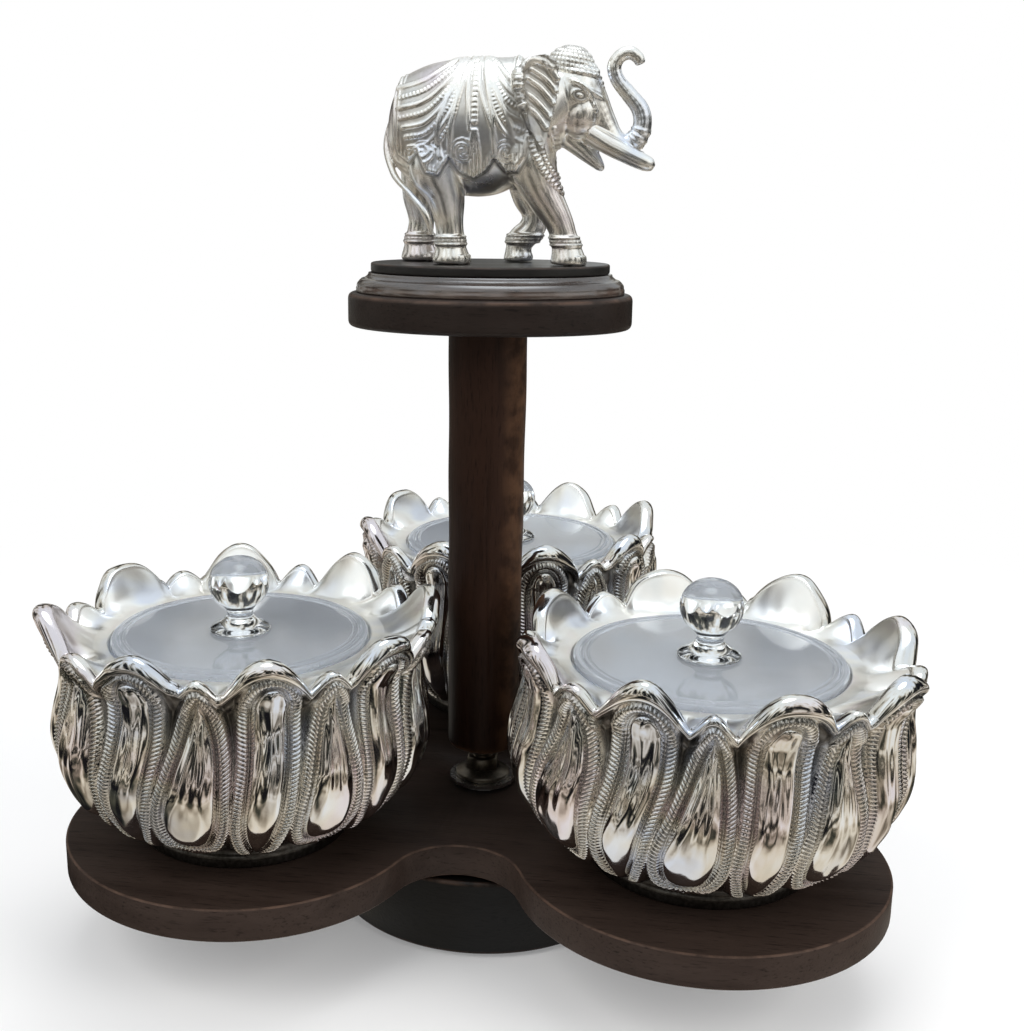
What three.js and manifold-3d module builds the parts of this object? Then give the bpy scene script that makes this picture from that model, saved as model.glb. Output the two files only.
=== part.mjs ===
// Revolving mukhwas stand. A trefoil tray turns about a fixed spindle on a round wooden foot. The
// spindle carries a turned post, a stepped oval plinth and a plated elephant. Each lobe of the tray
// holds a lotus bowl with eight tall and eight short petals, closed by a clear lid with a knob.
// Units are millimetres, Z is up, the elephant faces +X and the origin is the centre of the underside.
import * as THREE from 'three';
import { mergeVertices } from 'three/addons/utils/BufferGeometryUtils.js';
import Module from 'manifold-3d';

const wasm = await Module();
wasm.setup();

// Clearances
const GLUE_LINE = 0.1; // between flat faces that are glued or clamped together
const FIT_CLEARANCE = 0.3; // round a fixed piece in its bore
const RUNNING_CLEARANCE = 0.3; // between pieces that turn or lift off

// Foot
const FELT_RADIUS = 54;
const FELT_THICKNESS = 1.5;
const FOOT_RADIUS = 58;
const FOOT_HEIGHT = 29;
const FOOT_ARRIS = 1.2;
const THRUST_WASHER_RADIUS = 24;
const THRUST_WASHER_THICKNESS = 1.2;

// Spindle and the hardware on it
const SPINDLE_RADIUS = 4;
const BOLT_HEAD_ACROSS_FLATS = 13;
const BOLT_HEAD_HEIGHT = 5.3;
const BOLT_HEAD_RECESS = 7;
const BOLT_HEAD_SPACE = 2.5; // room round the head for a socket
const STEEL_WASHER_RADIUS = 13;
const STEEL_WASHER_THICKNESS = 1.4;
const NUT_FLANGE_RADIUS = 10.6;
const NUT_FLANGE_HEIGHT = 1.6;
const NUT_BARREL_RADIUS = 6.6;
const NUT_HEIGHT = 8;
const NUT_TAPER_HEIGHT = 2.9; // from the flange up to the barrel
const SPINDLE_IN_POST = 20; // length screwed into the post

// Tray
const TRAY_THICKNESS = 12;
const LOBE_PITCH_RADIUS = 96; // lobe centre to tray centre
const LOBE_RADIUS = 66;
const TRAY_WAIST_RADIUS = 56; // nearest point of the edge to the centre
const TRAY_ARRIS = 0.8;
const BUSH_WALL = 2;
const BUSH_FLANGE_WIDTH = 4;
const BUSH_FLANGE_THICKNESS = 1.2;

// Post
const POST_ABOVE_TRAY = 16;
const POST_LENGTH = 164;
const POST_BOTTOM_RADIUS = 13.8;
const POST_TOP_RADIUS = 14.6;
const POST_FOOT_ROUNDING = 3;
const INSERT_WALL = 2.2;
const INSERT_LENGTH = 18;

// Plinth
const SLAB_HALF_LENGTH = 52;
const SLAB_HALF_WIDTH = 33;
const SLAB_THICKNESS = 12.5;
const SLAB_ROUNDING = 2.5;
const MOULDING_INSET = 3; // from the slab's edge
const MOULDING_HEIGHT = 7;
const MOULDING_STEP = 1.6; // height of the flat fillet under the ogee
const DISC_INSET = 8.5; // from the slab's edge
const DISC_THICKNESS = 3.5;
const PLINTH_SCREW_RADIUS = 2.2;
const PLINTH_SCREW_HEAD_RADIUS = 4.4;
const PLINTH_SCREW_HEAD_HEIGHT = 3;
const PLINTH_SCREW_LENGTH = 42;

// Elephant
const ELEPHANT_HEIGHT = 75;
const ELEPHANT_SQUARES = 75; // squares of the drawing grid from the disc to the crown
const CLOTH_THICKNESS = 1;
const FOOT_SCREW_RADIUS = 1.5;
const FOOT_SCREW_HEAD_RADIUS = 2.8;
const FOOT_SCREW_LENGTH = 8; // above the disc's top

// Lotus bowl
const BOWL_COUNT = 3;
const PETAL_PAIRS = 8; // tall petals, with as many short ones between them
const BOWL_FOOT_RADIUS = 38.8;
const BOWL_FOOT_HEIGHT = 4;
const BOWL_NECK_INSET = 2.4;
const BELLY_RADIUS = 66;
const BELLY_HEIGHT = 38;
const WAIST_RADIUS = 63;
const WAIST_HEIGHT = 63;
const TALL_TIP_RADIUS = 68;
const TALL_TIP_HEIGHT = 88;
const SHORT_TIP_RADIUS = 65.5;
const SHORT_TIP_HEIGHT = 80;
const RIM_VALLEY_RADIUS = 63.5;
const RIM_VALLEY_HEIGHT = 73;
const LIP_ROLL = 2.2; // how far the lip stands out beyond its crest
const LIP_DROP = 5; // how far the lip's edge lies below its crest
const LIP_WIDTH = 3.2; // from the crest in to the lip's inner edge
const LIP_FALL = 1.2; // from the crest down to that edge
const TALL_PETAL_HALF_ANGLE = 9.6; // degrees
const SHORT_PETAL_HALF_ANGLE = 12; // degrees, at the belly
const SHORT_PETAL_TIP_HALF_ANGLE = 3.6; // degrees
const PETAL_BORDER_RELIEF = 1.5;
const PETAL_CENTRE_RELIEF = 1.1;
const PETAL_GAP_DEPTH = 3;
const LEDGE_WIDTH = 5; // smooth ledge round the lid
const LEDGE_DROP = 1; // from the lid's top down to the ledge
const FOOT_CHAMFER = 1;
const BOWL_TURNS = { left: 20, right: 15, back: 20 }; // degrees that each loose bowl is turned by
const BOWL_FLOOR_THICKNESS = 6;
const BOWL_FLOOR_RADIUS = 34;
const BOWL_INNER_RADIUS = 58;
const BOWL_INNER_HEIGHT = 40; // height of the widest place inside

// Lid and knob
const LID_RADIUS = 46.4;
const LID_THICKNESS = 3;
const LID_SEAT_HEIGHT = 71; // above the tray
const LID_SEAT_WIDTH = 3;
const LID_SPIGOT_DEPTH = 2;
const LID_CHAMFER = 0.7;
const KNOB_FLANGE_RADIUS = 11;
const KNOB_NECK_RADIUS = 4.8;
const KNOB_NECK_HEIGHT = 9.5;
const KNOB_BALL_RADIUS = 11;
const KNOB_BALL_HALF_HEIGHT = 9.6;
const KNOB_FLANGE_EDGE = 1;
const KNOB_BALL_CUT = 0.86; // share of the ball's lower half that shows above the neck

// Heights of the stack, each worked out from the one below it
const Z = {};
Z.footBottom = FELT_THICKNESS + GLUE_LINE;
Z.footTop = Z.footBottom + FOOT_HEIGHT;
Z.thrustBottom = Z.footTop + GLUE_LINE;
Z.trayBottom = Z.thrustBottom + THRUST_WASHER_THICKNESS + RUNNING_CLEARANCE;
Z.trayTop = Z.trayBottom + TRAY_THICKNESS;
Z.bushTop = Z.trayTop + GLUE_LINE + BUSH_FLANGE_THICKNESS;
Z.steelWasherBottom = Z.bushTop + RUNNING_CLEARANCE;
Z.nutBottom = Z.steelWasherBottom + STEEL_WASHER_THICKNESS + GLUE_LINE;
Z.postBottom = Z.trayTop + POST_ABOVE_TRAY;
Z.postTop = Z.postBottom + POST_LENGTH;
Z.slabBottom = Z.postTop + GLUE_LINE;
Z.slabTop = Z.slabBottom + SLAB_THICKNESS;
Z.mouldingBottom = Z.slabTop + GLUE_LINE;
Z.mouldingTop = Z.mouldingBottom + MOULDING_HEIGHT;
Z.discBottom = Z.mouldingTop + GLUE_LINE;
Z.discTop = Z.discBottom + DISC_THICKNESS;
Z.elephant = Z.discTop + GLUE_LINE;
Z.bowl = Z.trayTop + RUNNING_CLEARANCE;

const BUSH_BORE_RADIUS = SPINDLE_RADIUS + RUNNING_CLEARANCE;
const BUSH_RADIUS = BUSH_BORE_RADIUS + BUSH_WALL;
const LID_SPIGOT_RADIUS = LID_RADIUS - LID_SEAT_WIDTH;
const ELEPHANT_SQUARE = ELEPHANT_HEIGHT / ELEPHANT_SQUARES;
const SECTOR = 360 / PETAL_PAIRS;

// Facets
const LOBE_STEPS = 24;
const FILLET_STEPS = 6;
const OVAL_SIDES = 30;
const WALL_SHARES = [0.2, 0.42, 0.64, 0.84, 1]; // heights of the rings up a bowl's wall

const COLOUR = {
  wood: { color: 0x3a2a26, roughness: 0.45, metalness: 0 },
  blackWood: { color: 0x161412, roughness: 0.55, metalness: 0 },
  postWood: { color: 0x2c1c14, roughness: 0.5, metalness: 0 },
  felt: { color: 0x1c1f1c, roughness: 0.95, metalness: 0 },
  nylon: { color: 0xd8d4c8, roughness: 0.5, metalness: 0 },
  darkSteel: { color: 0x3c3d3c, roughness: 0.4, metalness: 0.9 },
  steel: { color: 0xb9bbbb, roughness: 0.3, metalness: 1 },
  brass: { color: 0xb08a45, roughness: 0.35, metalness: 1 },
  silver: { color: 0xdedbd6, roughness: 0.08, metalness: 1 },
  acrylic: { color: 0xc9ced6, roughness: 0.05, metalness: 0 },
};

const whole = new THREE.Group();

function addMesh(parent, name, geometry, finish) {
  const mesh = new THREE.Mesh(geometry, new THREE.MeshStandardMaterial(COLOUR[finish]));
  mesh.name = name;
  parent.add(mesh);
  return mesh;
}

// Booleans

function toManifold(geometry) {
  const bare = geometry.clone();
  bare.deleteAttribute('normal');
  bare.deleteAttribute('uv');
  const merged = mergeVertices(bare, 1e-4);
  const position = merged.getAttribute('position');
  const index = merged.getIndex().array;
  const triangles = [];
  for (let i = 0; i < index.length; i += 3) {
    const [a, b, c] = [index[i], index[i + 1], index[i + 2]];
    if (a !== b && b !== c && c !== a) triangles.push(a, b, c);
  }
  return new wasm.Manifold(new wasm.Mesh({
    numProp: 3,
    vertProperties: new Float32Array(position.array),
    triVerts: new Uint32Array(triangles),
  }));
}

function toGeometry(solid) {
  const { vertProperties, triVerts } = solid.getMesh();
  const geometry = new THREE.BufferGeometry();
  geometry.setAttribute('position', new THREE.BufferAttribute(new Float32Array(vertProperties), 3));
  geometry.setIndex(Array.from(triVerts));
  return geometry;
}

function joined(geometries) {
  return toGeometry(geometries.map(toManifold).reduce((sum, next) => sum.add(next)));
}

function cut(geometry, cutters) {
  return toGeometry(cutters.map(toManifold).reduce((rest, next) => rest.subtract(next), toManifold(geometry)));
}

// Basic forms

// A profile of [radius, height] pairs, turned about Z. It starts and ends on the axis, or closes on
// itself, and runs up the outside.
function turned(profile, segments) {
  const points = profile.map(([radius, height]) => new THREE.Vector2(radius, height));
  return new THREE.LatheGeometry(points, segments).rotateX(Math.PI / 2);
}

function ring(inner, outer, bottom, top, segments) {
  return turned([[inner, bottom], [outer, bottom], [outer, top], [inner, top], [inner, bottom]], segments);
}

function rod(radius, bottom, top, segments) {
  return turned([[0, bottom], [radius, bottom], [radius, top], [0, top]], segments);
}

function shifted(geometry, x, y, z = 0) {
  return geometry.translate(x, y, z);
}

// A quarter round from one profile point to another, bulging towards the corner.
function roundedCorner(corner, from, to, steps) {
  const points = [];
  for (let i = 0; i <= steps; i += 1) {
    const t = i / steps;
    const angle = (t * Math.PI) / 2;
    const u = 1 - Math.cos(angle);
    const v = Math.sin(angle);
    points.push([
      from[0] + (corner[0] - from[0]) * v + (to[0] - corner[0]) * u,
      from[1] + (corner[1] - from[1]) * v + (to[1] - corner[1]) * u,
    ]);
  }
  return points;
}

// Skins a list of closed rings of Vector3 and closes both ends with a fan. Rings may differ in
// their number of points.
function skinned(rings) {
  const vertices = [];
  const starts = rings.map((points) => {
    const start = vertices.length;
    vertices.push(...points);
    return start;
  });
  const index = [];
  for (let k = 0; k + 1 < rings.length; k += 1) {
    stitch(index, starts[k], rings[k].length, starts[k + 1], rings[k + 1].length);
  }
  fan(index, vertices, starts[0], rings[0], true);
  fan(index, vertices, starts[rings.length - 1], rings[rings.length - 1], false);
  const geometry = new THREE.BufferGeometry().setFromPoints(vertices);
  geometry.setIndex(index);
  return geometry;
}

function stitch(index, startA, countA, startB, countB) {
  let a = 0;
  let b = 0;
  while (a < countA || b < countB) {
    const nextA = (a + 0.5) / countA;
    const nextB = (b + 0.5) / countB;
    if (b === countB || (a < countA && nextA <= nextB)) {
      index.push(startA + (a % countA), startA + ((a + 1) % countA), startB + (b % countB));
      a += 1;
    } else {
      index.push(startA + (a % countA), startB + ((b + 1) % countB), startB + (b % countB));
      b += 1;
    }
  }
}

function fan(index, vertices, start, points, first) {
  const centre = new THREE.Vector3();
  points.forEach((point) => centre.add(point));
  centre.divideScalar(points.length);
  const apex = vertices.length;
  vertices.push(centre);
  for (let i = 0; i < points.length; i += 1) {
    const a = start + i;
    const b = start + ((i + 1) % points.length);
    index.push(apex, first ? b : a, first ? a : b);
  }
}

function circlePoint(radius, degrees, height) {
  const angle = THREE.MathUtils.degToRad(degrees);
  return new THREE.Vector3(radius * Math.cos(angle), radius * Math.sin(angle), height);
}

function ovalRing(halfLength, halfWidth, height, count) {
  return Array.from({ length: count }, (_, i) => {
    const angle = (2 * Math.PI * i) / count;
    return new THREE.Vector3(halfLength * Math.cos(angle), halfWidth * Math.sin(angle), height);
  });
}

// An oval board whose edge profile is given as [inset from the slab's edge, height] pairs, bottom first.
function ovalBoard(edge, count) {
  return skinned(edge.map(([inset, height]) => (
    ovalRing(SLAB_HALF_LENGTH - inset, SLAB_HALF_WIDTH - inset, height, count))));
}

function hexagon(acrossFlats) {
  const shape = new THREE.Shape();
  const corner = acrossFlats / Math.sqrt(3);
  for (let i = 0; i < 6; i += 1) {
    const angle = (Math.PI / 3) * i;
    const point = [corner * Math.cos(angle), corner * Math.sin(angle)];
    if (i === 0) shape.moveTo(...point);
    else shape.lineTo(...point);
  }
  shape.closePath();
  return shape;
}

// Foot and spindle

function footDrum() {
  const recess = BOLT_HEAD_ACROSS_FLATS / Math.sqrt(3) + BOLT_HEAD_SPACE;
  const bore = SPINDLE_RADIUS + FIT_CLEARANCE;
  const recessTop = Z.footBottom + BOLT_HEAD_RECESS;
  return turned([
    [recess, Z.footBottom],
    [FOOT_RADIUS - FOOT_ARRIS, Z.footBottom],
    [FOOT_RADIUS, Z.footBottom + FOOT_ARRIS],
    [FOOT_RADIUS, Z.footTop - FOOT_ARRIS],
    [FOOT_RADIUS - FOOT_ARRIS, Z.footTop],
    [bore, Z.footTop],
    [bore, recessTop],
    [recess, recessTop],
    [recess, Z.footBottom],
  ], 32);
}

function spindle() {
  const headTop = Z.footBottom + BOLT_HEAD_RECESS - GLUE_LINE;
  const top = Z.postBottom + SPINDLE_IN_POST;
  const head = new THREE.ExtrudeGeometry(hexagon(BOLT_HEAD_ACROSS_FLATS), {
    depth: BOLT_HEAD_HEIGHT,
    bevelEnabled: false,
  });
  shifted(head, 0, 0, headTop - BOLT_HEAD_HEIGHT);
  return joined([head, rod(SPINDLE_RADIUS, headTop - BOLT_HEAD_HEIGHT / 2, top, 16)]);
}

function flangeNut() {
  const bore = SPINDLE_RADIUS + FIT_CLEARANCE;
  const top = Z.nutBottom + NUT_HEIGHT;
  const shoulder = Z.nutBottom + NUT_FLANGE_HEIGHT;
  return turned([
    [bore, Z.nutBottom],
    [NUT_FLANGE_RADIUS, Z.nutBottom],
    [NUT_FLANGE_RADIUS, shoulder],
    [NUT_BARREL_RADIUS + FIT_CLEARANCE, shoulder + NUT_TAPER_HEIGHT],
    [NUT_BARREL_RADIUS, top - FIT_CLEARANCE],
    [NUT_BARREL_RADIUS - FIT_CLEARANCE, top],
    [bore, top],
    [bore, Z.nutBottom],
  ], 16);
}

// Tray

// The outline runs round the three lobes, with a concave arc tangent to each pair of lobes.
function trayOutline() {
  const [pitch, lobe, waist] = [LOBE_PITCH_RADIUS, LOBE_RADIUS, TRAY_WAIST_RADIUS];
  const spread = Math.PI / BOWL_COUNT;
  const fillet = (pitch ** 2 + waist ** 2 - 2 * pitch * waist * Math.cos(spread) - lobe ** 2)
    / (2 * (lobe - waist + pitch * Math.cos(spread)));
  const hollow = waist + fillet;
  const points = [];
  for (let i = 0; i < BOWL_COUNT; i += 1) {
    const centre = lobeAngle(i);
    const lobeX = pitch * Math.cos(centre);
    const lobeY = pitch * Math.sin(centre);
    const hollowX = hollow * Math.cos(centre + spread);
    const hollowY = hollow * Math.sin(centre + spread);
    const towards = Math.atan2(hollowY - lobeY, hollowX - lobeX);
    const reach = normalAngle(towards - centre);
    points.push(...arcPoints(lobeX, lobeY, lobe, centre - reach, 2 * reach, LOBE_STEPS));
    const from = towards + Math.PI;
    const turn = 2 * normalAngle(centre + spread + Math.PI - from);
    points.push(...arcPoints(hollowX, hollowY, fillet, from, turn, FILLET_STEPS));
  }
  return new THREE.Shape(points);
}

// Points along an arc, without its last one, which the next arc starts with.
function arcPoints(x, y, radius, from, turn, steps) {
  return Array.from({ length: steps }, (_, i) => {
    const angle = from + (turn * i) / steps;
    return new THREE.Vector2(x + radius * Math.cos(angle), y + radius * Math.sin(angle));
  });
}

function normalAngle(angle) {
  return Math.atan2(Math.sin(angle), Math.cos(angle));
}

function lobeAngle(i) {
  return -Math.PI / 2 - Math.PI / 3 + (2 * Math.PI * i) / BOWL_COUNT;
}

function tray() {
  const shape = trayOutline();
  const bore = new THREE.Path();
  bore.absarc(0, 0, BUSH_RADIUS + FIT_CLEARANCE, 0, 2 * Math.PI, true);
  shape.holes.push(bore);
  const body = new THREE.ExtrudeGeometry(shape, {
    depth: TRAY_THICKNESS - 2 * TRAY_ARRIS,
    bevelSize: TRAY_ARRIS,
    bevelOffset: -TRAY_ARRIS,
    bevelThickness: TRAY_ARRIS,
    bevelSegments: 1,
    curveSegments: 10,
  });
  return shifted(body, 0, 0, Z.trayBottom + TRAY_ARRIS);
}

function trayBush() {
  const flange = BUSH_RADIUS + BUSH_FLANGE_WIDTH;
  return turned([
    [BUSH_BORE_RADIUS, Z.trayBottom],
    [BUSH_RADIUS, Z.trayBottom],
    [BUSH_RADIUS, Z.trayTop + GLUE_LINE],
    [flange, Z.trayTop + GLUE_LINE],
    [flange, Z.bushTop],
    [BUSH_BORE_RADIUS, Z.bushTop],
    [BUSH_BORE_RADIUS, Z.trayBottom],
  ], 16);
}

// Post and plinth

function post() {
  const pocket = SPINDLE_RADIUS + FIT_CLEARANCE + INSERT_WALL + FIT_CLEARANCE;
  const pocketTop = Z.postBottom + INSERT_LENGTH;
  const tip = Z.postBottom + SPINDLE_IN_POST + FIT_CLEARANCE;
  const bore = SPINDLE_RADIUS + FIT_CLEARANCE;
  const pilot = PLINTH_SCREW_RADIUS + FIT_CLEARANCE;
  const pilotBottom = Z.slabTop - PLINTH_SCREW_LENGTH - FIT_CLEARANCE;
  return turned([
    [0, tip],
    [bore, tip],
    [bore, pocketTop + GLUE_LINE],
    [pocket, pocketTop + GLUE_LINE],
    [pocket, Z.postBottom],
    ...roundedCorner(
      [POST_BOTTOM_RADIUS, Z.postBottom],
      [POST_BOTTOM_RADIUS - POST_FOOT_ROUNDING, Z.postBottom],
      [POST_BOTTOM_RADIUS, Z.postBottom + POST_FOOT_ROUNDING],
      3,
    ),
    [POST_TOP_RADIUS, Z.postTop],
    [pilot, Z.postTop],
    [pilot, pilotBottom],
    [0, pilotBottom],
  ], 20);
}

function postInsert() {
  const bore = SPINDLE_RADIUS + FIT_CLEARANCE;
  return ring(bore, bore + INSERT_WALL, Z.postBottom, Z.postBottom + INSERT_LENGTH, 16);
}

function plinthSlab() {
  const [bottom, top, r] = [Z.slabBottom, Z.slabTop, SLAB_ROUNDING];
  const board = ovalBoard([
    ...roundedCorner([0, bottom], [r, bottom], [0, bottom + r], 2),
    ...roundedCorner([0, top], [0, top - r], [r, top], 2),
  ], OVAL_SIDES);
  const shank = PLINTH_SCREW_RADIUS + FIT_CLEARANCE;
  const head = PLINTH_SCREW_HEAD_RADIUS + FIT_CLEARANCE;
  const headBottom = top - PLINTH_SCREW_HEAD_HEIGHT - FIT_CLEARANCE;
  return cut(board, [
    rod(shank, bottom - 1, top, 12),
    turned([[0, headBottom - head + shank], [shank, headBottom - head + shank], [head, headBottom],
      [head, top + 1], [0, top + 1]], 12),
  ]);
}

function plinthScrew() {
  const top = Z.slabTop - FIT_CLEARANCE / 2;
  const headBottom = top - PLINTH_SCREW_HEAD_HEIGHT;
  const taper = PLINTH_SCREW_HEAD_RADIUS - PLINTH_SCREW_RADIUS;
  return turned([
    [0, Z.slabTop - PLINTH_SCREW_LENGTH],
    [PLINTH_SCREW_RADIUS, Z.slabTop - PLINTH_SCREW_LENGTH + PLINTH_SCREW_RADIUS],
    [PLINTH_SCREW_RADIUS, headBottom - taper],
    [PLINTH_SCREW_HEAD_RADIUS, headBottom],
    [PLINTH_SCREW_HEAD_RADIUS, top],
    [0, top],
  ], 12);
}

// A small square fillet, then an ogee that runs in to the disc's edge.
function plinthMoulding() {
  const foot = Z.mouldingBottom + MOULDING_STEP;
  const run = DISC_INSET - MOULDING_INSET;
  const rise = Z.mouldingTop - foot;
  return ovalBoard([
    [MOULDING_INSET, Z.mouldingBottom],
    [MOULDING_INSET, foot],
    [MOULDING_INSET + 0.16 * run, foot + 0.1 * rise],
    [MOULDING_INSET + 0.24 * run, foot + 0.45 * rise],
    [MOULDING_INSET + 0.5 * run, foot + 0.78 * rise],
    [MOULDING_INSET + 0.8 * run, foot + 0.93 * rise],
    [MOULDING_INSET + 0.86 * run, Z.mouldingTop],
  ], OVAL_SIDES);
}

function plinthDisc() {
  const board = ovalBoard([
    [DISC_INSET, Z.discBottom],
    [DISC_INSET, Z.discTop - 0.6],
    [DISC_INSET + 0.6, Z.discTop],
  ], OVAL_SIDES);
  return cut(board, screwedFeet().flatMap(([x, y]) => [
    shifted(rod(FOOT_SCREW_RADIUS + FIT_CLEARANCE, Z.discBottom, Z.discTop + 1, 10), x, y),
    shifted(footScrewHead(FIT_CLEARANCE, 1), x, y),
  ]));
}

// Countersunk head in the disc's underside, grown by a clearance for the hole that it sits in.
function footScrewHead(clearance, below) {
  const head = FOOT_SCREW_HEAD_RADIUS + clearance;
  const shank = FOOT_SCREW_RADIUS + clearance;
  const bottom = Z.discBottom + GLUE_LINE;
  return turned([
    [0, bottom - below],
    [head, bottom - below],
    [head, bottom + 0.3],
    [shank, bottom + 0.3 + head - shank],
    [0, bottom + 0.3 + head - shank],
  ], 10);
}

function footScrew([x, y]) {
  const tip = Z.discTop + FOOT_SCREW_LENGTH;
  const screw = joined([footScrewHead(0, 0), rod(FOOT_SCREW_RADIUS, Z.discBottom + 1, tip, 10)]);
  return shifted(screw, x, y);
}

// Elephant. Stations are written in grid squares, from the disc's top, nose towards +X.

const BARREL = [
  // [x, centre height, half height, half width]
  [-36.6, 45, 5, 4],
  [-35.2, 46, 11, 9],
  [-32, 47, 15.5, 13],
  [-26, 47.5, 19.8, 15.8],
  [-18, 47.5, 22.6, 17],
  [-8, 47.2, 24.4, 17.4],
  [2, 47.4, 24.3, 17.2],
  [11, 49, 21.6, 16.2],
  [18, 51, 18.6, 14.2],
  [24, 54, 15, 12],
  [28, 56, 12, 9.5],
];

const FEET = {
  // [x, y, height, radius], from the hip or shoulder down
  near_hind: [[-19, -6, 44, 8], [-18.5, -7.5, 34, 10], [-15, -8, 24, 7.4], [-13.6, -8, 15, 5.6],
    [-13.2, -8, 10, 5.5], [-13, -8, 8.6, 6.6], [-13, -8, 7, 6.4], [-12.9, -8, 6, 5.9], [-12.6, -8, 0, 7.1]],
  far_hind: [[-24, 6, 44, 8], [-25, 7.5, 34, 9.4], [-27, 8, 24, 6.6], [-26.2, 8, 15, 5.2],
    [-26.6, 8, 10, 5.3], [-27, 8, 8.6, 6.4], [-27, 8, 7, 6.2], [-27, 8, 6, 5.8], [-26.8, 8, 0, 7]],
  near_front: [[13, -6, 46, 8], [15, -8, 36, 9.4], [19.5, -8.5, 25, 7.2], [25.4, -8.5, 15, 5.5],
    [27.2, -8.5, 10, 5.2], [27.8, -8.5, 8.6, 6.2], [28.1, -8.5, 7, 6], [28.3, -8.5, 6, 5.5],
    [28.8, -8.5, 0, 6.6]],
  far_front: [[12, 6, 46, 8], [12, 8, 36, 8.6], [12.6, 8.5, 25, 6.6], [15.4, 8.5, 16, 5.4],
    [13.6, 8.5, 11, 5.3], [10.4, 8.5, 8, 5.6], [9.8, 8.5, 6, 4.8], [9.8, 8.5, 0, 5.6]],
};

const TRUNK = [
  // [x, height, radius]
  [31, 60, 8.4], [35.4, 53.5, 6.8], [39, 48, 5.6], [42, 43.4, 4.8], [46, 40.6, 4.1], [50.6, 42, 3.7],
  [53.3, 47.3, 3.4], [52.2, 53, 3.3], [48, 58, 3.1], [43.6, 62.9, 2.7], [42.3, 67.8, 2.4],
  [44.6, 71.6, 2.1], [48.2, 72.5, 1.9], [51, 70.2, 1.7], [51.8, 67.6, 1.5],
];

// A tube of round sections along a path of [Vector3, radius] pairs.
function taperedTube(path, sides) {
  const points = path.map(([point]) => point);
  const rings = path.map(([point, radius], k) => {
    const before = points[Math.max(k - 1, 0)];
    const after = points[Math.min(k + 1, points.length - 1)];
    const along = after.clone().sub(before).normalize();
    const side = new THREE.Vector3(0, 1, 0).cross(along);
    if (side.length() < 0.3) side.set(1, 0, 0);
    side.normalize();
    const up = along.clone().cross(side).normalize();
    return Array.from({ length: sides }, (_, i) => {
      const angle = (2 * Math.PI * (i + 0.5)) / sides;
      return point.clone()
        .addScaledVector(side, radius * Math.cos(angle))
        .addScaledVector(up, radius * Math.sin(angle));
    });
  });
  return skinned(rings);
}

function level(stations) {
  return stations.map(([x, y, height, radius]) => Array.from({ length: 9 }, (_, i) => {
    const angle = (2 * Math.PI * i) / 9;
    return new THREE.Vector3(x + radius * Math.cos(angle), y + radius * Math.sin(angle), height);
  }));
}

function leg(stations) {
  return skinned(level(stations.slice().reverse()));
}

function barrel(grow, count) {
  const rings = BARREL.map(([x, centre, halfHeight, halfWidth]) => (
    Array.from({ length: count }, (_, i) => {
      const angle = (2 * Math.PI * i) / count;
      return new THREE.Vector3(
        x,
        (halfWidth + grow) * Math.cos(angle),
        centre + (halfHeight + grow) * Math.sin(angle),
      );
    })));
  return skinned(rings);
}

function ellipsoid(x, y, z, rx, ry, rz, columns, rows) {
  const ball = new THREE.SphereGeometry(1, columns, rows);
  return shifted(ball.rotateX(Math.PI / 2).scale(rx, ry, rz), x, y, z);
}

// The cloth lies on the barrel as a thin layer, and ends below in a row of scallops.
function saddleCloth() {
  const [rear, front, hem, scallopWidth] = [-33, 14.5, 36, 9.5];
  const shape = new THREE.Shape();
  shape.moveTo(rear + 6, 80);
  shape.lineTo(rear, 52);
  shape.lineTo(rear, hem);
  const scallops = Math.round((front - rear) / scallopWidth);
  const width = (front - rear) / scallops;
  for (let i = 0; i < scallops; i += 1) {
    const x = rear + i * width;
    shape.quadraticCurveTo(x + width / 2, hem - 10, x + width, hem);
  }
  shape.lineTo(front, 50);
  shape.lineTo(front - 7, 80);
  shape.closePath();
  const region = new THREE.ExtrudeGeometry(shape, { depth: 60, bevelEnabled: false, curveSegments: 3 });
  region.rotateX(Math.PI / 2).translate(0, 30, 0);
  const layer = toManifold(barrel(CLOTH_THICKNESS, 16));
  return toGeometry(layer.intersect(toManifold(region)));
}

// One ear, hinged at the cheek and standing away from the neck behind it. Side is -1 or 1.
function ear(side) {
  const outline = new THREE.Shape();
  outline.moveTo(0, 12);
  outline.quadraticCurveTo(-6, 17, -12, 12);
  outline.quadraticCurveTo(-13.5, 3, -9, -5);
  outline.quadraticCurveTo(-7, -12, -4, -14.5);
  outline.quadraticCurveTo(0, -6, 1, 0);
  outline.closePath();
  const flap = new THREE.ExtrudeGeometry(outline, { depth: 1.6, bevelEnabled: false, curveSegments: 4 });
  flap.rotateX(Math.PI / 2).translate(0, 0.8, 0).rotateZ(-0.42);
  if (side > 0) flap.applyMatrix4(new THREE.Matrix4().makeScale(1, -1, 1));
  if (side > 0) flipFaces(flap);
  return shifted(flap, 22.5, side * 12.4, 57);
}

// Turns every face of a geometry without an index over, after it has been mirrored.
function flipFaces(geometry) {
  const count = geometry.getAttribute('position').count;
  geometry.setIndex(Array.from({ length: count }, (_, i) => i - (i % 3) + [0, 2, 1][i % 3]));
}

function onPlane(stations, y = 0) {
  return stations.map(([x, height, radius]) => [new THREE.Vector3(x, y, height), radius]);
}

function tusk(side) {
  return taperedTube([
    [new THREE.Vector3(38, side * 4, 44), 2.4],
    [new THREE.Vector3(44, side * 5, 39.6), 2.2],
    [new THREE.Vector3(50, side * 5.4, 35.6), 1.9],
    [new THREE.Vector3(55, side * 5.4, 33), 1.4],
  ], 7);
}

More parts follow.
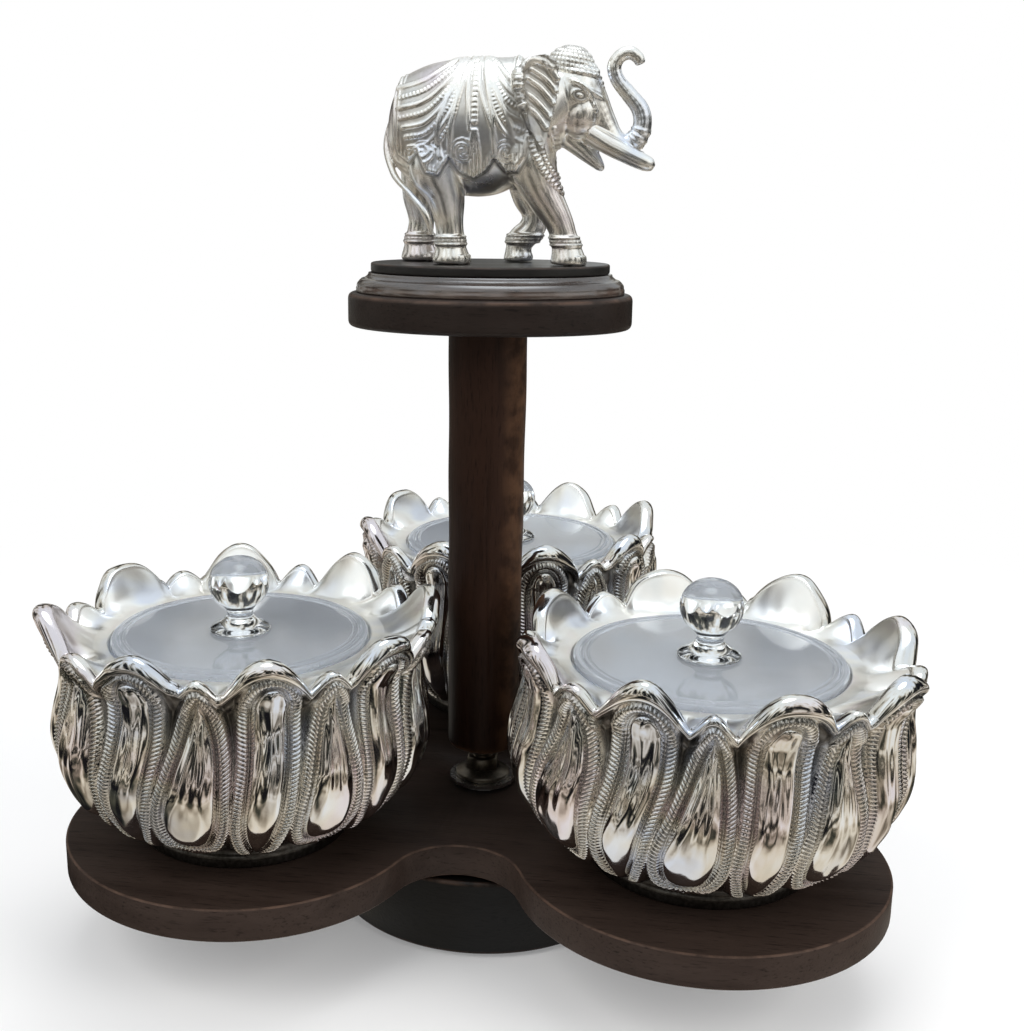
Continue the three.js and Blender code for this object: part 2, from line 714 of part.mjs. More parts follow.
function tail() {
  return taperedTube([
    [new THREE.Vector3(-34, 0, 50), 1.8],
    [new THREE.Vector3(-36.6, -3, 40), 1.6],
    [new THREE.Vector3(-33.4, -7, 31), 1.4],
    [new THREE.Vector3(-26.5, -11, 24), 1.3],
    [new THREE.Vector3(-21.2, -13.4, 18), 1.5],
    [new THREE.Vector3(-18.6, -13.2, 10), 1.2],
  ], 6);
}

function screwedFeet() {
  return ['near_hind', 'near_front'].map((name) => {
    const [x, y] = FEET[name].at(-1);
    return [x * ELEPHANT_SQUARE, y * ELEPHANT_SQUARE];
  });
}

function elephant() {
  const casting = joined([
    barrel(0, 16),
    ...Object.values(FEET).map(leg),
    ellipsoid(29, 0, 58.5, 10.5, 10.4, 13, 14, 9),
    taperedTube(onPlane(TRUNK), 9),
    taperedTube(onPlane([[24, 48, 6], [30, 42, 4.4], [36, 36.5, 3], [39.4, 33, 1.4]]), 8),
    ellipsoid(27.7, 0, 68.3, 8.4, 8, 6.7, 12, 7),
    tusk(-1),
    tusk(1),
    ear(-1),
    ear(1),
    tail(),
    saddleCloth(),
  ]);
  casting.scale(ELEPHANT_SQUARE, ELEPHANT_SQUARE, ELEPHANT_SQUARE).translate(0, 0, Z.elephant);
  const tip = Z.discTop + FOOT_SCREW_LENGTH + FIT_CLEARANCE;
  return cut(casting, screwedFeet().map(([x, y]) => (
    shifted(rod(FOOT_SCREW_RADIUS + FIT_CLEARANCE, Z.elephant - 1, tip, 8), x, y))));
}

// Lotus bowl

function smooth(from, to, value) {
  return THREE.MathUtils.smoothstep(value, from, to);
}

// The outer wall from its neck to its lip, as radius over share of the height.
const WALL_CURVE = new THREE.SplineCurve([
  new THREE.Vector2(BOWL_FOOT_RADIUS - BOWL_NECK_INSET, BOWL_FOOT_HEIGHT + BOWL_NECK_INSET),
  new THREE.Vector2(0.84 * BELLY_RADIUS, 0.42 * BELLY_HEIGHT),
  new THREE.Vector2(BELLY_RADIUS, BELLY_HEIGHT),
  new THREE.Vector2(WAIST_RADIUS, WAIST_HEIGHT),
  new THREE.Vector2(WAIST_RADIUS + LIP_ROLL, TALL_TIP_HEIGHT - 2 * LIP_DROP),
]);

// Columns of one sector: tall petal, gap, short petal, gap. Each has its angle, how far it stands
// proud of the wall, and how much of the tall and the short tip it shares.
function sectorColumns(share) {
  const tall = TALL_PETAL_HALF_ANGLE;
  const narrowing = smooth(0.35, 1, share);
  const short = THREE.MathUtils.lerp(SHORT_PETAL_HALF_ANGLE, SHORT_PETAL_TIP_HALF_ANGLE, narrowing);
  const middle = SECTOR / 2;
  const gap = (tall + middle - short) / 2;
  const columns = [
    { angle: 0, relief: PETAL_CENTRE_RELIEF, tall: 1, short: 0 },
    { angle: 0.66 * tall, relief: PETAL_BORDER_RELIEF, tall: 0.86, short: 0 },
    { angle: tall, relief: 0, tall: 0.3, short: 0 },
    { angle: gap, relief: -PETAL_GAP_DEPTH, tall: 0, short: 0 },
    { angle: middle - short, relief: 0, tall: 0, short: 0.45 },
    { angle: middle - 0.66 * short, relief: PETAL_BORDER_RELIEF, tall: 0, short: 0.85 },
    { angle: middle, relief: PETAL_CENTRE_RELIEF, tall: 0, short: 1 },
  ];
  const mirrored = columns.slice(1, -1).reverse().map((column) => ({ ...column, angle: SECTOR - column.angle }));
  return [...columns, ...mirrored];
}

function petalColumns(share) {
  return Array.from({ length: PETAL_PAIRS }, (_, i) => (
    sectorColumns(share).map((column) => ({ ...column, angle: column.angle + i * SECTOR })))).flat();
}

function rimRadius({ tall, short }) {
  return RIM_VALLEY_RADIUS + tall * (TALL_TIP_RADIUS - RIM_VALLEY_RADIUS)
    + short * (SHORT_TIP_RADIUS - RIM_VALLEY_RADIUS);
}

function rimHeight({ tall, short }) {
  return RIM_VALLEY_HEIGHT + tall * (TALL_TIP_HEIGHT - RIM_VALLEY_HEIGHT)
    + short * (SHORT_TIP_HEIGHT - RIM_VALLEY_HEIGHT);
}

// Relief fades in above the neck and out again at the lip.
function wallRing(share) {
  const bottom = BOWL_FOOT_HEIGHT + BOWL_NECK_INSET;
  const wall = WALL_CURVE.getPoint(share);
  const fade = smooth(0, 0.25, share);
  const flare = smooth(0.72, 1, share);
  return petalColumns(share).map((column) => {
    const lipHeight = rimHeight(column) - LIP_DROP;
    const lipRadius = rimRadius(column) + LIP_ROLL;
    const plain = wall.x + fade * column.relief;
    const height = THREE.MathUtils.lerp(wall.y, bottom + (lipHeight - bottom) * share, flare);
    return circlePoint(THREE.MathUtils.lerp(plain, lipRadius, flare), column.angle, height);
  });
}

function rimRing(inset, rise) {
  return petalColumns(1).map((column) => (
    circlePoint(rimRadius(column) - inset, column.angle, rimHeight(column) + rise)));
}

function roundRing(radius, height, count) {
  return Array.from({ length: count }, (_, i) => circlePoint(radius, (360 * i) / count, height));
}

function lotusBowl() {
  const seat = LID_RADIUS + RUNNING_CLEARANCE;
  const mouth = LID_SPIGOT_RADIUS + RUNNING_CLEARANCE;
  const count = 4 * PETAL_PAIRS;
  const rings = [
    roundRing(BOWL_FOOT_RADIUS - FOOT_CHAMFER, 0, count),
    roundRing(BOWL_FOOT_RADIUS, FOOT_CHAMFER, count),
    roundRing(BOWL_FOOT_RADIUS, BOWL_FOOT_HEIGHT, count),
    roundRing(BOWL_FOOT_RADIUS - BOWL_NECK_INSET, BOWL_FOOT_HEIGHT + BOWL_NECK_INSET, count),
    ...WALL_SHARES.map(wallRing),
    rimRing(0, 0),
    rimRing(LIP_WIDTH, -LIP_FALL),
    roundRing(seat + LEDGE_WIDTH, LID_SEAT_HEIGHT + LID_THICKNESS - LEDGE_DROP, count),
    roundRing(seat, LID_SEAT_HEIGHT, count),
    roundRing(mouth, LID_SEAT_HEIGHT, count),
    roundRing(mouth, LID_SEAT_HEIGHT - 2 * LID_SPIGOT_DEPTH, count),
    roundRing(BOWL_INNER_RADIUS, BOWL_INNER_HEIGHT, count),
    roundRing(0.83 * BOWL_INNER_RADIUS, 0.45 * BOWL_INNER_HEIGHT, count),
    roundRing(BOWL_FLOOR_RADIUS, BOWL_FLOOR_THICKNESS, count),
  ];
  return skinned(rings);
}

function lidPlate() {
  const bottom = LID_SEAT_HEIGHT + RUNNING_CLEARANCE;
  const top = bottom + LID_THICKNESS;
  return turned([
    [0, bottom - LID_SPIGOT_DEPTH],
    [LID_SPIGOT_RADIUS, bottom - LID_SPIGOT_DEPTH],
    [LID_SPIGOT_RADIUS, bottom],
    [LID_RADIUS, bottom],
    [LID_RADIUS, top - LID_CHAMFER],
    [LID_RADIUS - LID_CHAMFER, top],
    [0, top],
  ], 28);
}

function lidKnob() {
  const bottom = LID_SEAT_HEIGHT + RUNNING_CLEARANCE + LID_THICKNESS + GLUE_LINE;
  const ballBottom = bottom + KNOB_NECK_HEIGHT;
  const centre = ballBottom + KNOB_BALL_CUT * KNOB_BALL_HALF_HEIGHT;
  const ball = [];
  const start = -Math.asin(KNOB_BALL_CUT);
  const steps = 5;
  for (let i = 0; i <= steps; i += 1) {
    const angle = start + ((Math.PI / 2 - start) * i) / steps;
    const radius = i === steps ? 0 : KNOB_BALL_RADIUS * Math.cos(angle);
    ball.push([radius, centre + KNOB_BALL_HALF_HEIGHT * Math.sin(angle)]);
  }
  return turned([
    [0, bottom],
    [KNOB_FLANGE_RADIUS, bottom],
    [KNOB_FLANGE_RADIUS, bottom + KNOB_FLANGE_EDGE],
    [0.62 * KNOB_FLANGE_RADIUS, bottom + 0.3 * KNOB_NECK_HEIGHT],
    [KNOB_NECK_RADIUS, bottom + 0.6 * KNOB_NECK_HEIGHT],
    ...ball,
  ], 16);
}

// Assembly

function addStand() {
  addMesh(whole, 'felt_pad', rod(FELT_RADIUS, 0, FELT_THICKNESS, 24), 'felt');
  addMesh(whole, 'foot_drum', footDrum(), 'blackWood');
  addMesh(whole, 'spindle_bolt', spindle(), 'darkSteel');
  const bore = SPINDLE_RADIUS + FIT_CLEARANCE;
  const thrustTop = Z.thrustBottom + THRUST_WASHER_THICKNESS;
  addMesh(whole, 'thrust_washer', ring(bore, THRUST_WASHER_RADIUS, Z.thrustBottom, thrustTop, 20), 'nylon');
  const steelTop = Z.steelWasherBottom + STEEL_WASHER_THICKNESS;
  addMesh(whole, 'steel_washer', ring(bore, STEEL_WASHER_RADIUS, Z.steelWasherBottom, steelTop, 16), 'steel');
  addMesh(whole, 'flange_nut', flangeNut(), 'darkSteel');
  addMesh(whole, 'post', post(), 'postWood');
  addMesh(whole, 'post_insert', postInsert(), 'brass');
  addMesh(whole, 'plinth_slab', plinthSlab(), 'wood');
  addMesh(whole, 'plinth_screw', plinthScrew(), 'steel');
  addMesh(whole, 'plinth_moulding', plinthMoulding(), 'wood');
  addMesh(whole, 'plinth_disc', plinthDisc(), 'blackWood');
  screwedFeet().forEach((place, i) => addMesh(whole, `elephant_screw_${i + 1}`, footScrew(place), 'steel'));
  addMesh(whole, 'elephant', elephant(), 'silver');
}

function addTray() {
  addMesh(whole, 'tray', tray(), 'wood');
  addMesh(whole, 'tray_bush', trayBush(), 'nylon');
}

function addBowls() {
  ['left', 'right', 'back'].forEach((place, i) => {
    const group = new THREE.Group();
    const angle = lobeAngle(i);
    group.position.set(LOBE_PITCH_RADIUS * Math.cos(angle), LOBE_PITCH_RADIUS * Math.sin(angle), Z.bowl);
    group.rotation.z = THREE.MathUtils.degToRad(BOWL_TURNS[place]);
    addMesh(group, `bowl_${place}`, lotusBowl(), 'silver');
    addMesh(group, `lid_${place}`, lidPlate(), 'acrylic');
    addMesh(group, `knob_${place}`, lidKnob(), 'acrylic');
    whole.add(group);
  });
}

addStand();
addTray();
addBowls();

export default whole;
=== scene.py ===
import math

import bpy
import numpy as np
from bpy.props import FloatProperty, FloatVectorProperty, IntProperty, PointerProperty
from mathutils import Matrix, Vector
from mathutils.geometry import delaunay_2d_cdt


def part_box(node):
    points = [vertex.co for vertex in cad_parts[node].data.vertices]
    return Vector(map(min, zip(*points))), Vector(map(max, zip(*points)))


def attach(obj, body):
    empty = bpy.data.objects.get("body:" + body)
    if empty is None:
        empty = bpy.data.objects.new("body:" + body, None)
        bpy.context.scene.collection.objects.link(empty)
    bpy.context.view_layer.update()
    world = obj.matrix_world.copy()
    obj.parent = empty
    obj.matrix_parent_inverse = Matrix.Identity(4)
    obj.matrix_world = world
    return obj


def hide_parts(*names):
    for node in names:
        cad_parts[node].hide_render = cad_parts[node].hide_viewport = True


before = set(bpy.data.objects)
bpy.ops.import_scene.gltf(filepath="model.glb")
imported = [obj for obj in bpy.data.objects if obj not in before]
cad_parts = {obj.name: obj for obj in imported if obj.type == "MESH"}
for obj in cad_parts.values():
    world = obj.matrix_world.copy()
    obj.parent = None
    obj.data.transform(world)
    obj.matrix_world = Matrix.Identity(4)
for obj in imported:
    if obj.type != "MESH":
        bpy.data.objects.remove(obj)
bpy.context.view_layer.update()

bl_info = {
    "name": "Revolving mukhwas stand",
    "version": (1, 0, 0),
    "blender": (4, 5, 0),
    "location": "3D View > Sidebar > Stand",
    "description": "Dresses a trefoil revolving stand with three lotus bowls and a plated elephant",
    "category": "Object",
}

MM = 0.001
PLACES = ("left", "right", "back")
WAVES = np.random.default_rng(7)
WAVE_COUNT = 14
TINY, FAR = 1e-9, 1e9


# Sizes and colours that a user may change


def size_property(name, description, default):
    return FloatProperty(name=name, description=description, default=default, subtype="DISTANCE",
                         unit="LENGTH")


def colour_property(name, description, default):
    return FloatVectorProperty(name=name, description=description, default=default, size=3,
                               subtype="COLOR")


class StandSizes(bpy.types.PropertyGroup):
    """Sizes of the chased work, in metres."""

    band_width: size_property("Rope band", "Width of the ribbed band round a petal", 0.0043)
    band_height: size_property("Band height", "How far the band stands out of the wall", 0.0016)
    rib_pitch: size_property("Rib pitch", "Distance from one rib of the band to the next", 0.00145)
    petal_bulge: size_property("Petal bulge", "How far the smooth middle of a petal swells", 0.0026)
    petal_gap: size_property("Petal gap", "Depth of the hollow between two petals", 0.0030)
    flute_height: size_property(
        "Flute height", "Height of the long flutes down the middle of a petal", 0.00020)
    casting_wave: size_property(
        "Casting unevenness", "Height of the slow waves in the cast silver", 0.00020)
    bowl_columns: IntProperty(
        name="Bowl columns", description="Faces round a bowl, a multiple of sixteen",
        default=960, min=160)
    bowl_rows: IntProperty(
        name="Bowl rows", description="Faces up the outer wall of a bowl", default=300, min=60)
    elephant_grain: size_property(
        "Elephant detail", "Size of the faces that the elephant is built from", 0.00034)


class StandColours(bpy.types.PropertyGroup):
    """Colours of the finishes, as linear values."""

    silver: colour_property("Silver", "Polished plating", (0.88, 0.87, 0.85))
    # Dark of the chased lines, the gaps between petals, the bowls' feet and the elephant's hollows: partly
    # tarnish, partly painted shade.
    tarnish_and_shade: colour_property(
        "Tarnish", "Plating at the bottom of the chased lines", (0.085, 0.078, 0.070))
    walnut: colour_property("Tray stain", "Stained wood of the tray and plinth", (0.040, 0.027, 0.0215))
    walnut_dark: colour_property(
        "Tray grain", "Dark grain of the tray and plinth", (0.021, 0.0130, 0.0100))
    post: colour_property("Post stain", "Reddish brown of the post", (0.020, 0.0088, 0.0050))
    ebony: colour_property("Black stain", "Black of the foot", (0.0060, 0.0055, 0.0050))
    # Also, darkened and reddened, the colour of the post's side that is painted paler as painted light.
    bare_edge: colour_property(
        "Rubbed edge", "Paler wood where the stain has rubbed off an edge", (0.145, 0.088, 0.062))
    lid: colour_property("Lid", "Tint of the clear lids", (0.77, 0.81, 0.865))
    backdrop: colour_property("Backdrop", "Colour of the floor and what is behind it", (1.0, 1.0, 1.0))


# Meshes, drawn in millimetres


def new_piece(name, corners, faces, finish, body, slot, stands_for, rubbed_and_lit=None):
    """Make one closed piece from numpy corners and hang it on its body."""
    mesh = bpy.data.meshes.new(name)
    fill_mesh(mesh, corners, faces)
    if rubbed_and_lit is not None:
        mark_corners(mesh, "rubbed_and_lit", rubbed_and_lit)
    hang(bpy.data.objects.new(name, mesh), finish, body, stands_for)


def fill_mesh(mesh, corners, faces):
    """Write corners and faces of three or four sides into an empty mesh."""
    corners = np.asarray(corners, float) * MM
    loops = np.concatenate([np.asarray(f, np.int32).ravel() for f in faces])
    counts = np.concatenate([np.full(len(f), np.asarray(f).shape[1], np.int32) for f in faces])
    starts = np.concatenate([[0], np.cumsum(counts)[:-1]]).astype(np.int32)
    mesh.vertices.add(len(corners))
    mesh.vertices.foreach_set("co", corners.astype(np.float32).ravel())
    mesh.loops.add(len(loops))
    mesh.loops.foreach_set("vertex_index", loops)
    mesh.polygons.add(len(counts))
    mesh.polygons.foreach_set("loop_start", starts)
    mesh.polygons.foreach_set("loop_total", counts)
    smooth_faces(mesh)
    mesh.update(calc_edges=True)
    mesh.validate()


def smooth_faces(mesh):
    mesh.polygons.foreach_set("use_smooth", np.ones(len(mesh.polygons), bool))


def mark_corners(mesh, label, values):
    """Store a number from 0 to 1 for each corner, which the finish reads by its label."""
    marks = mesh.attributes.new(label, "FLOAT", "POINT").data
    marks.foreach_set("value", np.asarray(values, np.float32).ravel())


def hang(piece, finish, body, stands_for):
    """Link a piece, give it its finish, hang it on its body and hide the frame's parts that it stands for.
    """
    bpy.context.scene.collection.objects.link(piece)
    piece.data.materials.append(finish)
    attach(piece, body)
    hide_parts(*stands_for)


def box_mm(node):
    """The low and high corners of a node, in millimetres."""
    low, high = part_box(node)
    return np.array(low) / MM, np.array(high) / MM


def around(count):
    """Angles of evenly spaced points round a circle."""
    return np.arange(count) * 2 * math.pi / count


def quarter(count):
    """Angles over a quarter turn, without the one at its start."""
    return np.linspace(0, math.pi / 2, count)[1:]


def level_ring(radius, turn, height):
    """Points round the Z axis, all at one height."""
    return np.stack([radius * np.cos(turn), radius * np.sin(turn), np.full(len(turn), height)], -1)


def unit(rows):
    """Vectors in rows, each made one long."""
    return rows / np.linalg.norm(rows, axis=1)[:, None]


def wall_quads(rows, columns):
    """Faces between neighbouring rings of corners. The last row joins the last ring to the first."""
    across = np.arange(columns)
    after = np.roll(across, -1)
    row = np.arange(rows)[:, None] * columns
    above = np.roll(row, -1, axis=0)
    return np.stack([row + across, row + after, above + after, above + across], -1)


def rings_to_mesh(rings):
    """Join rings of equal length, bottom to top of the walk, and close both ends with a fan."""
    rings = np.asarray(rings, float)
    rows, columns, _ = rings.shape
    corners = np.concatenate([rings.reshape(-1, 3), [rings[0].mean(0), rings[-1].mean(0)]])
    across = np.arange(columns)
    after = np.roll(across, -1)
    first, last, top = rows * columns, rows * columns + 1, (rows - 1) * columns
    fans = np.concatenate([
        np.stack([np.full(columns, first), after, across], -1),
        np.stack([np.full(columns, last), top + across, top + after], -1),
    ])
    return corners, [wall_quads(rows, columns)[:-1].reshape(-1, 4), fans]


def ring_loop_to_mesh(rings):
    """Join rings of equal length into a closed tube of rings, such as a washer."""
    rings = np.asarray(rings, float)
    return rings.reshape(-1, 3), [wall_quads(*rings.shape[:2]).reshape(-1, 4)]


def put_together(*parts):
    """Gather several (corners, faces) pairs as shells of one piece."""
    corners, faces, offset = [], [], 0
    for part_corners, part_faces in parts:
        corners.append(part_corners)
        faces.extend(np.asarray(f) + offset for f in part_faces)
        offset += len(part_corners)
    return np.concatenate(corners), faces


def turned(profile, sides, closed_round=False):
    """Turn a profile of (radius, height) about the Z axis."""
    rings = [level_ring(radius, around(sides), height) for radius, height in profile]
    return ring_loop_to_mesh(rings) if closed_round else rings_to_mesh(rings)


def rounded(profile, radius, steps=4):
    """Round the inner corners of an open profile of (radius, height)."""
    points = [np.asarray(p, float) for p in profile]
    made = [points[0]]
    for before, corner, after in zip(points, points[1:], points[2:]):
        into, out = corner - before, after - corner
        reach = min(radius, 0.45 * np.linalg.norm(into), 0.45 * np.linalg.norm(out))
        start = corner - into / max(np.linalg.norm(into), TINY) * reach
        end = corner + out / max(np.linalg.norm(out), TINY) * reach
        for t in np.linspace(0, 1, steps + 1):
            made.append((1 - t) ** 2 * start + 2 * t * (1 - t) * corner + t * t * end)
    made.append(points[-1])
    return made


def spline(points, count):
    """Points along a smooth curve through the given ones."""
    points = np.asarray(points, float)
    padded = np.concatenate([[2 * points[0] - points[1]], points, [2 * points[-1] - points[-2]]])
    at = np.linspace(0, len(points) - 1, count)
    k = np.minimum(at.astype(int), len(points) - 2)
    t = (at - k)[:, None]
    a, b, c, d = padded[k], padded[k + 1], padded[k + 2], padded[k + 3]
    return 0.5 * (2 * b + (c - a) * t + (2 * a - 5 * b + 4 * c - d) * t**2
                  + (3 * b - 3 * c + d - a) * t**3)


def smooth(low, high, value):
    """A soft step from 0 to 1 as the value goes from low to high."""
    share = np.clip((np.asarray(value, float) - low) / (high - low), 0, 1)
    return share * share * (3 - 2 * share)


def plateau(value, start, full, ending, end):
    """A soft step up to 1 and down again."""
    return smooth(start, full, value) * (1 - smooth(ending, end, value))


def hump(value, at, spread):
    """A soft hump that is 1 where the value is at its middle."""
    return np.exp(-((value - at) / spread) ** 2)


def waviness(points, shortest, longest):
    """Slow random waves over points, from about -1 to 1."""
    total = np.zeros(len(points))
    for _ in range(WAVE_COUNT):
        direction = WAVES.normal(size=3)
        direction /= np.linalg.norm(direction)
        length = WAVES.uniform(shortest, longest)
        total += np.sin(points @ direction * (2 * math.pi / length) + WAVES.uniform(0, 2 * math.pi))
    return total / math.sqrt(WAVE_COUNT)


def nearest_on_line(line, points):
    """Distance from flat points to a drawn line, and how far along the line the nearest place is."""
    line, points = np.asarray(line, float), np.asarray(points, float)
    best = np.full(len(points), FAR)
    along = np.zeros(len(points))
    walked = 0.0
    for start, end in zip(line, line[1:]):
        step = end - start
        length = max(float(np.linalg.norm(step)), TINY)
        t = np.clip((points - start) @ step / length**2, 0, 1)
        away = np.linalg.norm(points - start - t[:, None] * step, axis=1)
        nearer = away < best
        best[nearer] = away[nearer]
        along[nearer] = walked + t[nearer] * length
        walked += length
    return best, along


# Materials


def scaled(colour, share):
    """A darker or paler tone of a colour."""
    return tuple(min(1, share * c) for c in colour)


class Finish:
    """A procedural material round one Principled shader."""

    def __init__(self, name):
        self.material = bpy.data.materials.new(name)
        self.material.use_nodes = True
        self.tree = self.material.node_tree
        self.shader = self.tree.nodes["Principled BSDF"]
        self.place = self.add("ShaderNodeTexCoord").outputs["Object"]

    def add(self, kind, **settings):
        node = self.tree.nodes.new(kind)
        for key, value in settings.items():
            setattr(node, key, value)
        return node

    def join(self, socket, value):
        """Link an output to a socket, or set the socket to a plain value."""
        if isinstance(value, bpy.types.NodeSocket):
            self.tree.links.new(value, socket)
        else:
            socket.default_value = value

    def feed(self, node, **sockets):
        """Set or link sockets by name, with underscores for spaces."""
        for key, value in sockets.items():
            self.join(node.inputs[key.replace("_", " ")], value)
        return node

    def stretched(self, scale):
        mapping = self.feed(self.add("ShaderNodeMapping"), Vector=self.place, Scale=scale)
        return mapping.outputs["Vector"]

    def noise(self, size, detail=4.0, place=None, distortion=0.0):
        node = self.add("ShaderNodeTexNoise")
        self.feed(node, Vector=place or self.place, Scale=1.0 / size, Detail=detail,
                  Distortion=distortion, Roughness=0.55)
        return node.outputs["Fac"]

    def ramp(self, value, *stops):
        """Greys or colours at places from 0 to 1 along a value."""
        node = self.feed(self.add("ShaderNodeValToRGB"), Fac=value)
        elements = node.color_ramp.elements
        while len(elements) < len(stops):
            elements.new(0.5)
        for element, (at, colour) in zip(elements, stops):
            element.position = at
            element.color = (colour, colour, colour, 1) if isinstance(colour, float) else (*colour, 1)
        return node.outputs["Color"]

    def blend(self, share, first, second, kind="MIX"):
        """Mix two colours. Of a Mix node's sockets, 6 and 7 take colours and output 2 gives one."""
        node = self.add("ShaderNodeMix", data_type="RGBA", blend_type=kind)
        self.join(node.inputs[0], share)
        for socket, colour in ((6, first), (7, second)):
            linked = isinstance(colour, bpy.types.NodeSocket)
            self.join(node.inputs[socket], colour if linked else (*colour, 1))
        return node.outputs[2]

    def patches(self, value, low, high, first, second, most=1.0):
        """The first colour, going over to the second as a pattern rises from low to high."""
        return self.blend(self.ramp(value, (low, 0.0), (high, most)), first, second)

    def sums(self, kind, first, second):
        node = self.add("ShaderNodeMath", operation=kind)
        self.join(node.inputs[0], first)
        self.join(node.inputs[1], second)
        return node.outputs["Value"]

    def mark(self, label):
        return self.add("ShaderNodeAttribute", attribute_name=label).outputs["Fac"]

    def rough(self, value, low, high):
        node = self.feed(self.add("ShaderNodeMapRange"), Value=value, To_Min=low, To_Max=high)
        self.feed(self.shader, Roughness=node.outputs["Result"])

    def bump(self, value, depth, strength):
        node = self.feed(self.add("ShaderNodeBump"), Height=value, Distance=depth, Strength=strength)
        self.feed(self.shader, Normal=node.outputs["Normal"])


def silver_finish(colours, name, shine, unevenness, pale=1.0):
    """Silver plating, tinted in clouds, darkened in its chased lines and hollows partly as tarnish and
    partly as painted shade, and frosted where it isn't polished.
    """
    finish = Finish(name)
    cloud = finish.noise(0.021, detail=3)
    tints = finish.noise(0.034, detail=2, distortion=0.6)
    speck = finish.noise(0.0016, detail=5)
    silver = scaled(colours.silver, pale)
    bright = finish.patches(cloud, 0.35, 0.7, silver, scaled(silver, 0.90))
    tinted = finish.ramp(tints, (0.36, (0.86, 0.90, 1.0)), (0.47, (1.0, 1.0, 0.98)),
                         (0.55, (1.0, 0.97, 0.93)), (0.66, (0.96, 0.89, 0.93)))
    bright = finish.blend(1.0, bright, tinted, "MULTIPLY")
    # Fine specks of tarnish, and the hollow mark, which is partly tarnish and partly painted shade, darken
    # the plating and make it rougher.
    shade_and_specks = finish.sums("ADD", finish.mark("hollow"), finish.sums("MULTIPLY", speck, 0.25))
    age_and_shading = finish.ramp(shade_and_specks, (0.25, 0.0), (1.0, 1.0))
    finish.feed(finish.shader, Base_Color=finish.blend(age_and_shading, bright, colours.tarnish_and_shade), Metallic=1.0)
    dull = finish.sums("ADD", finish.sums("MULTIPLY", cloud, 0.35), age_and_shading)
    finish.rough(finish.sums("ADD", dull, finish.mark("frosted")), shine, shine + 0.26)
    finish.bump(finish.noise(0.0040, detail=2), 0.00012, unevenness)
    return finish.material


def wood_finish(name, stain, grain, bare_and_lit, gloss, lacquer, along=(1, 0, 0), size=0.0035, coat=None):
    """Stained and lacquered wood, with long grain, open pores and paler wood where corners are marked:
    rubbed edges, and on the post a side painted paler as painted light. A coat of its own is (weight, index
    of refraction, roughness)."""
    finish = Finish(name)
    place = finish.stretched(tuple(0.09 if a else 1.0 for a in along))
    figure = finish.noise(size * 4, detail=5, place=place, distortion=1.2)
    pores = finish.noise(size * 0.22, detail=3, place=place)
    cloud = finish.noise(0.05, detail=3)
    board = finish.patches(figure, 0.32, 0.68, grain, stain)
    board = finish.patches(cloud, 0.3, 0.8, board, scaled(stain, 1.35), 0.55)
    pored = finish.patches(pores, 0.56, 0.72, board, scaled(grain, 0.35), 0.7)
    age_and_shading = finish.ramp(finish.noise(0.007, detail=6), (0.36, 0.15), (0.62, 1.0))
    # Paler wood where corners are marked: rubbed wear on edges, and on the post a side painted paler as
    # painted light.
    chafe_and_light = finish.sums("MULTIPLY", finish.mark("rubbed_and_lit"), age_and_shading)
    weight, index, roughness = coat or (0.4 * lacquer, 1.5, 0.2)
    finish.feed(finish.shader, Base_Color=finish.blend(chafe_and_light, pored, bare_and_lit), Specular_IOR_Level=lacquer,
                Coat_Weight=weight, Coat_IOR=index, Coat_Roughness=roughness)
    finish.rough(finish.noise(0.012, detail=5, place=place), gloss, gloss + 0.22)
    finish.bump(finish.sums("ADD", pores, finish.sums("MULTIPLY", figure, 0.6)), 0.00022, 0.45)
    return finish.material


def clear_finish(name, tint, roughness, clearness):
    """Clear acrylic with faint rub marks. What isn't clear in it shows as a haze."""
    finish = Finish(name)
    smudge = finish.noise(0.014, detail=6, distortion=0.8)
    finish.feed(finish.shader, Base_Color=finish.patches(smudge, 0.35, 0.75, tint, scaled(tint, 1.08)),
                Transmission_Weight=clearness, IOR=1.49)
    finish.rough(smudge, roughness, roughness + 0.05)
    finish.bump(finish.noise(0.006, detail=2), 0.00006, 0.2)
    return finish.material


def metal_finish(name, bright, dull, roughness):
    """Machined metal with stains of handling."""
    finish = Finish(name)
    cloud = finish.noise(0.004, detail=5)
    finish.feed(finish.shader, Base_Color=finish.patches(cloud, 0.35, 0.7, bright, dull), Metallic=1.0)
    finish.rough(cloud, roughness, roughness + 0.2)
    finish.bump(finish.noise(0.0006, detail=4), 0.00003, 0.5)
    return finish.material


def nylon_finish():
    finish = Finish("nylon_white")
    cloud = finish.noise(0.006, detail=4)
    white = finish.patches(cloud, 0.3, 0.8, (0.62, 0.60, 0.55), (0.44, 0.42, 0.38))
    finish.feed(finish.shader, Base_Color=white)
    finish.rough(cloud, 0.35, 0.55)
    finish.bump(finish.noise(0.0008, detail=3), 0.00004, 0.4)
    return finish.material


def felt_finish():
    finish = Finish("felt_black")
    fibres = finish.noise(0.0007, detail=6, distortion=2.5)
    black = finish.patches(fibres, 0.3, 0.7, (0.012, 0.012, 0.013), (0.05, 0.05, 0.052))
    finish.feed(finish.shader, Base_Color=black, Sheen_Weight=0.4)
    finish.rough(fibres, 0.85, 1.0)
    finish.bump(fibres, 0.0004, 0.9)
    return finish.material


# Lotus bowls, in millimetres from the middle of the tray's top under each bowl

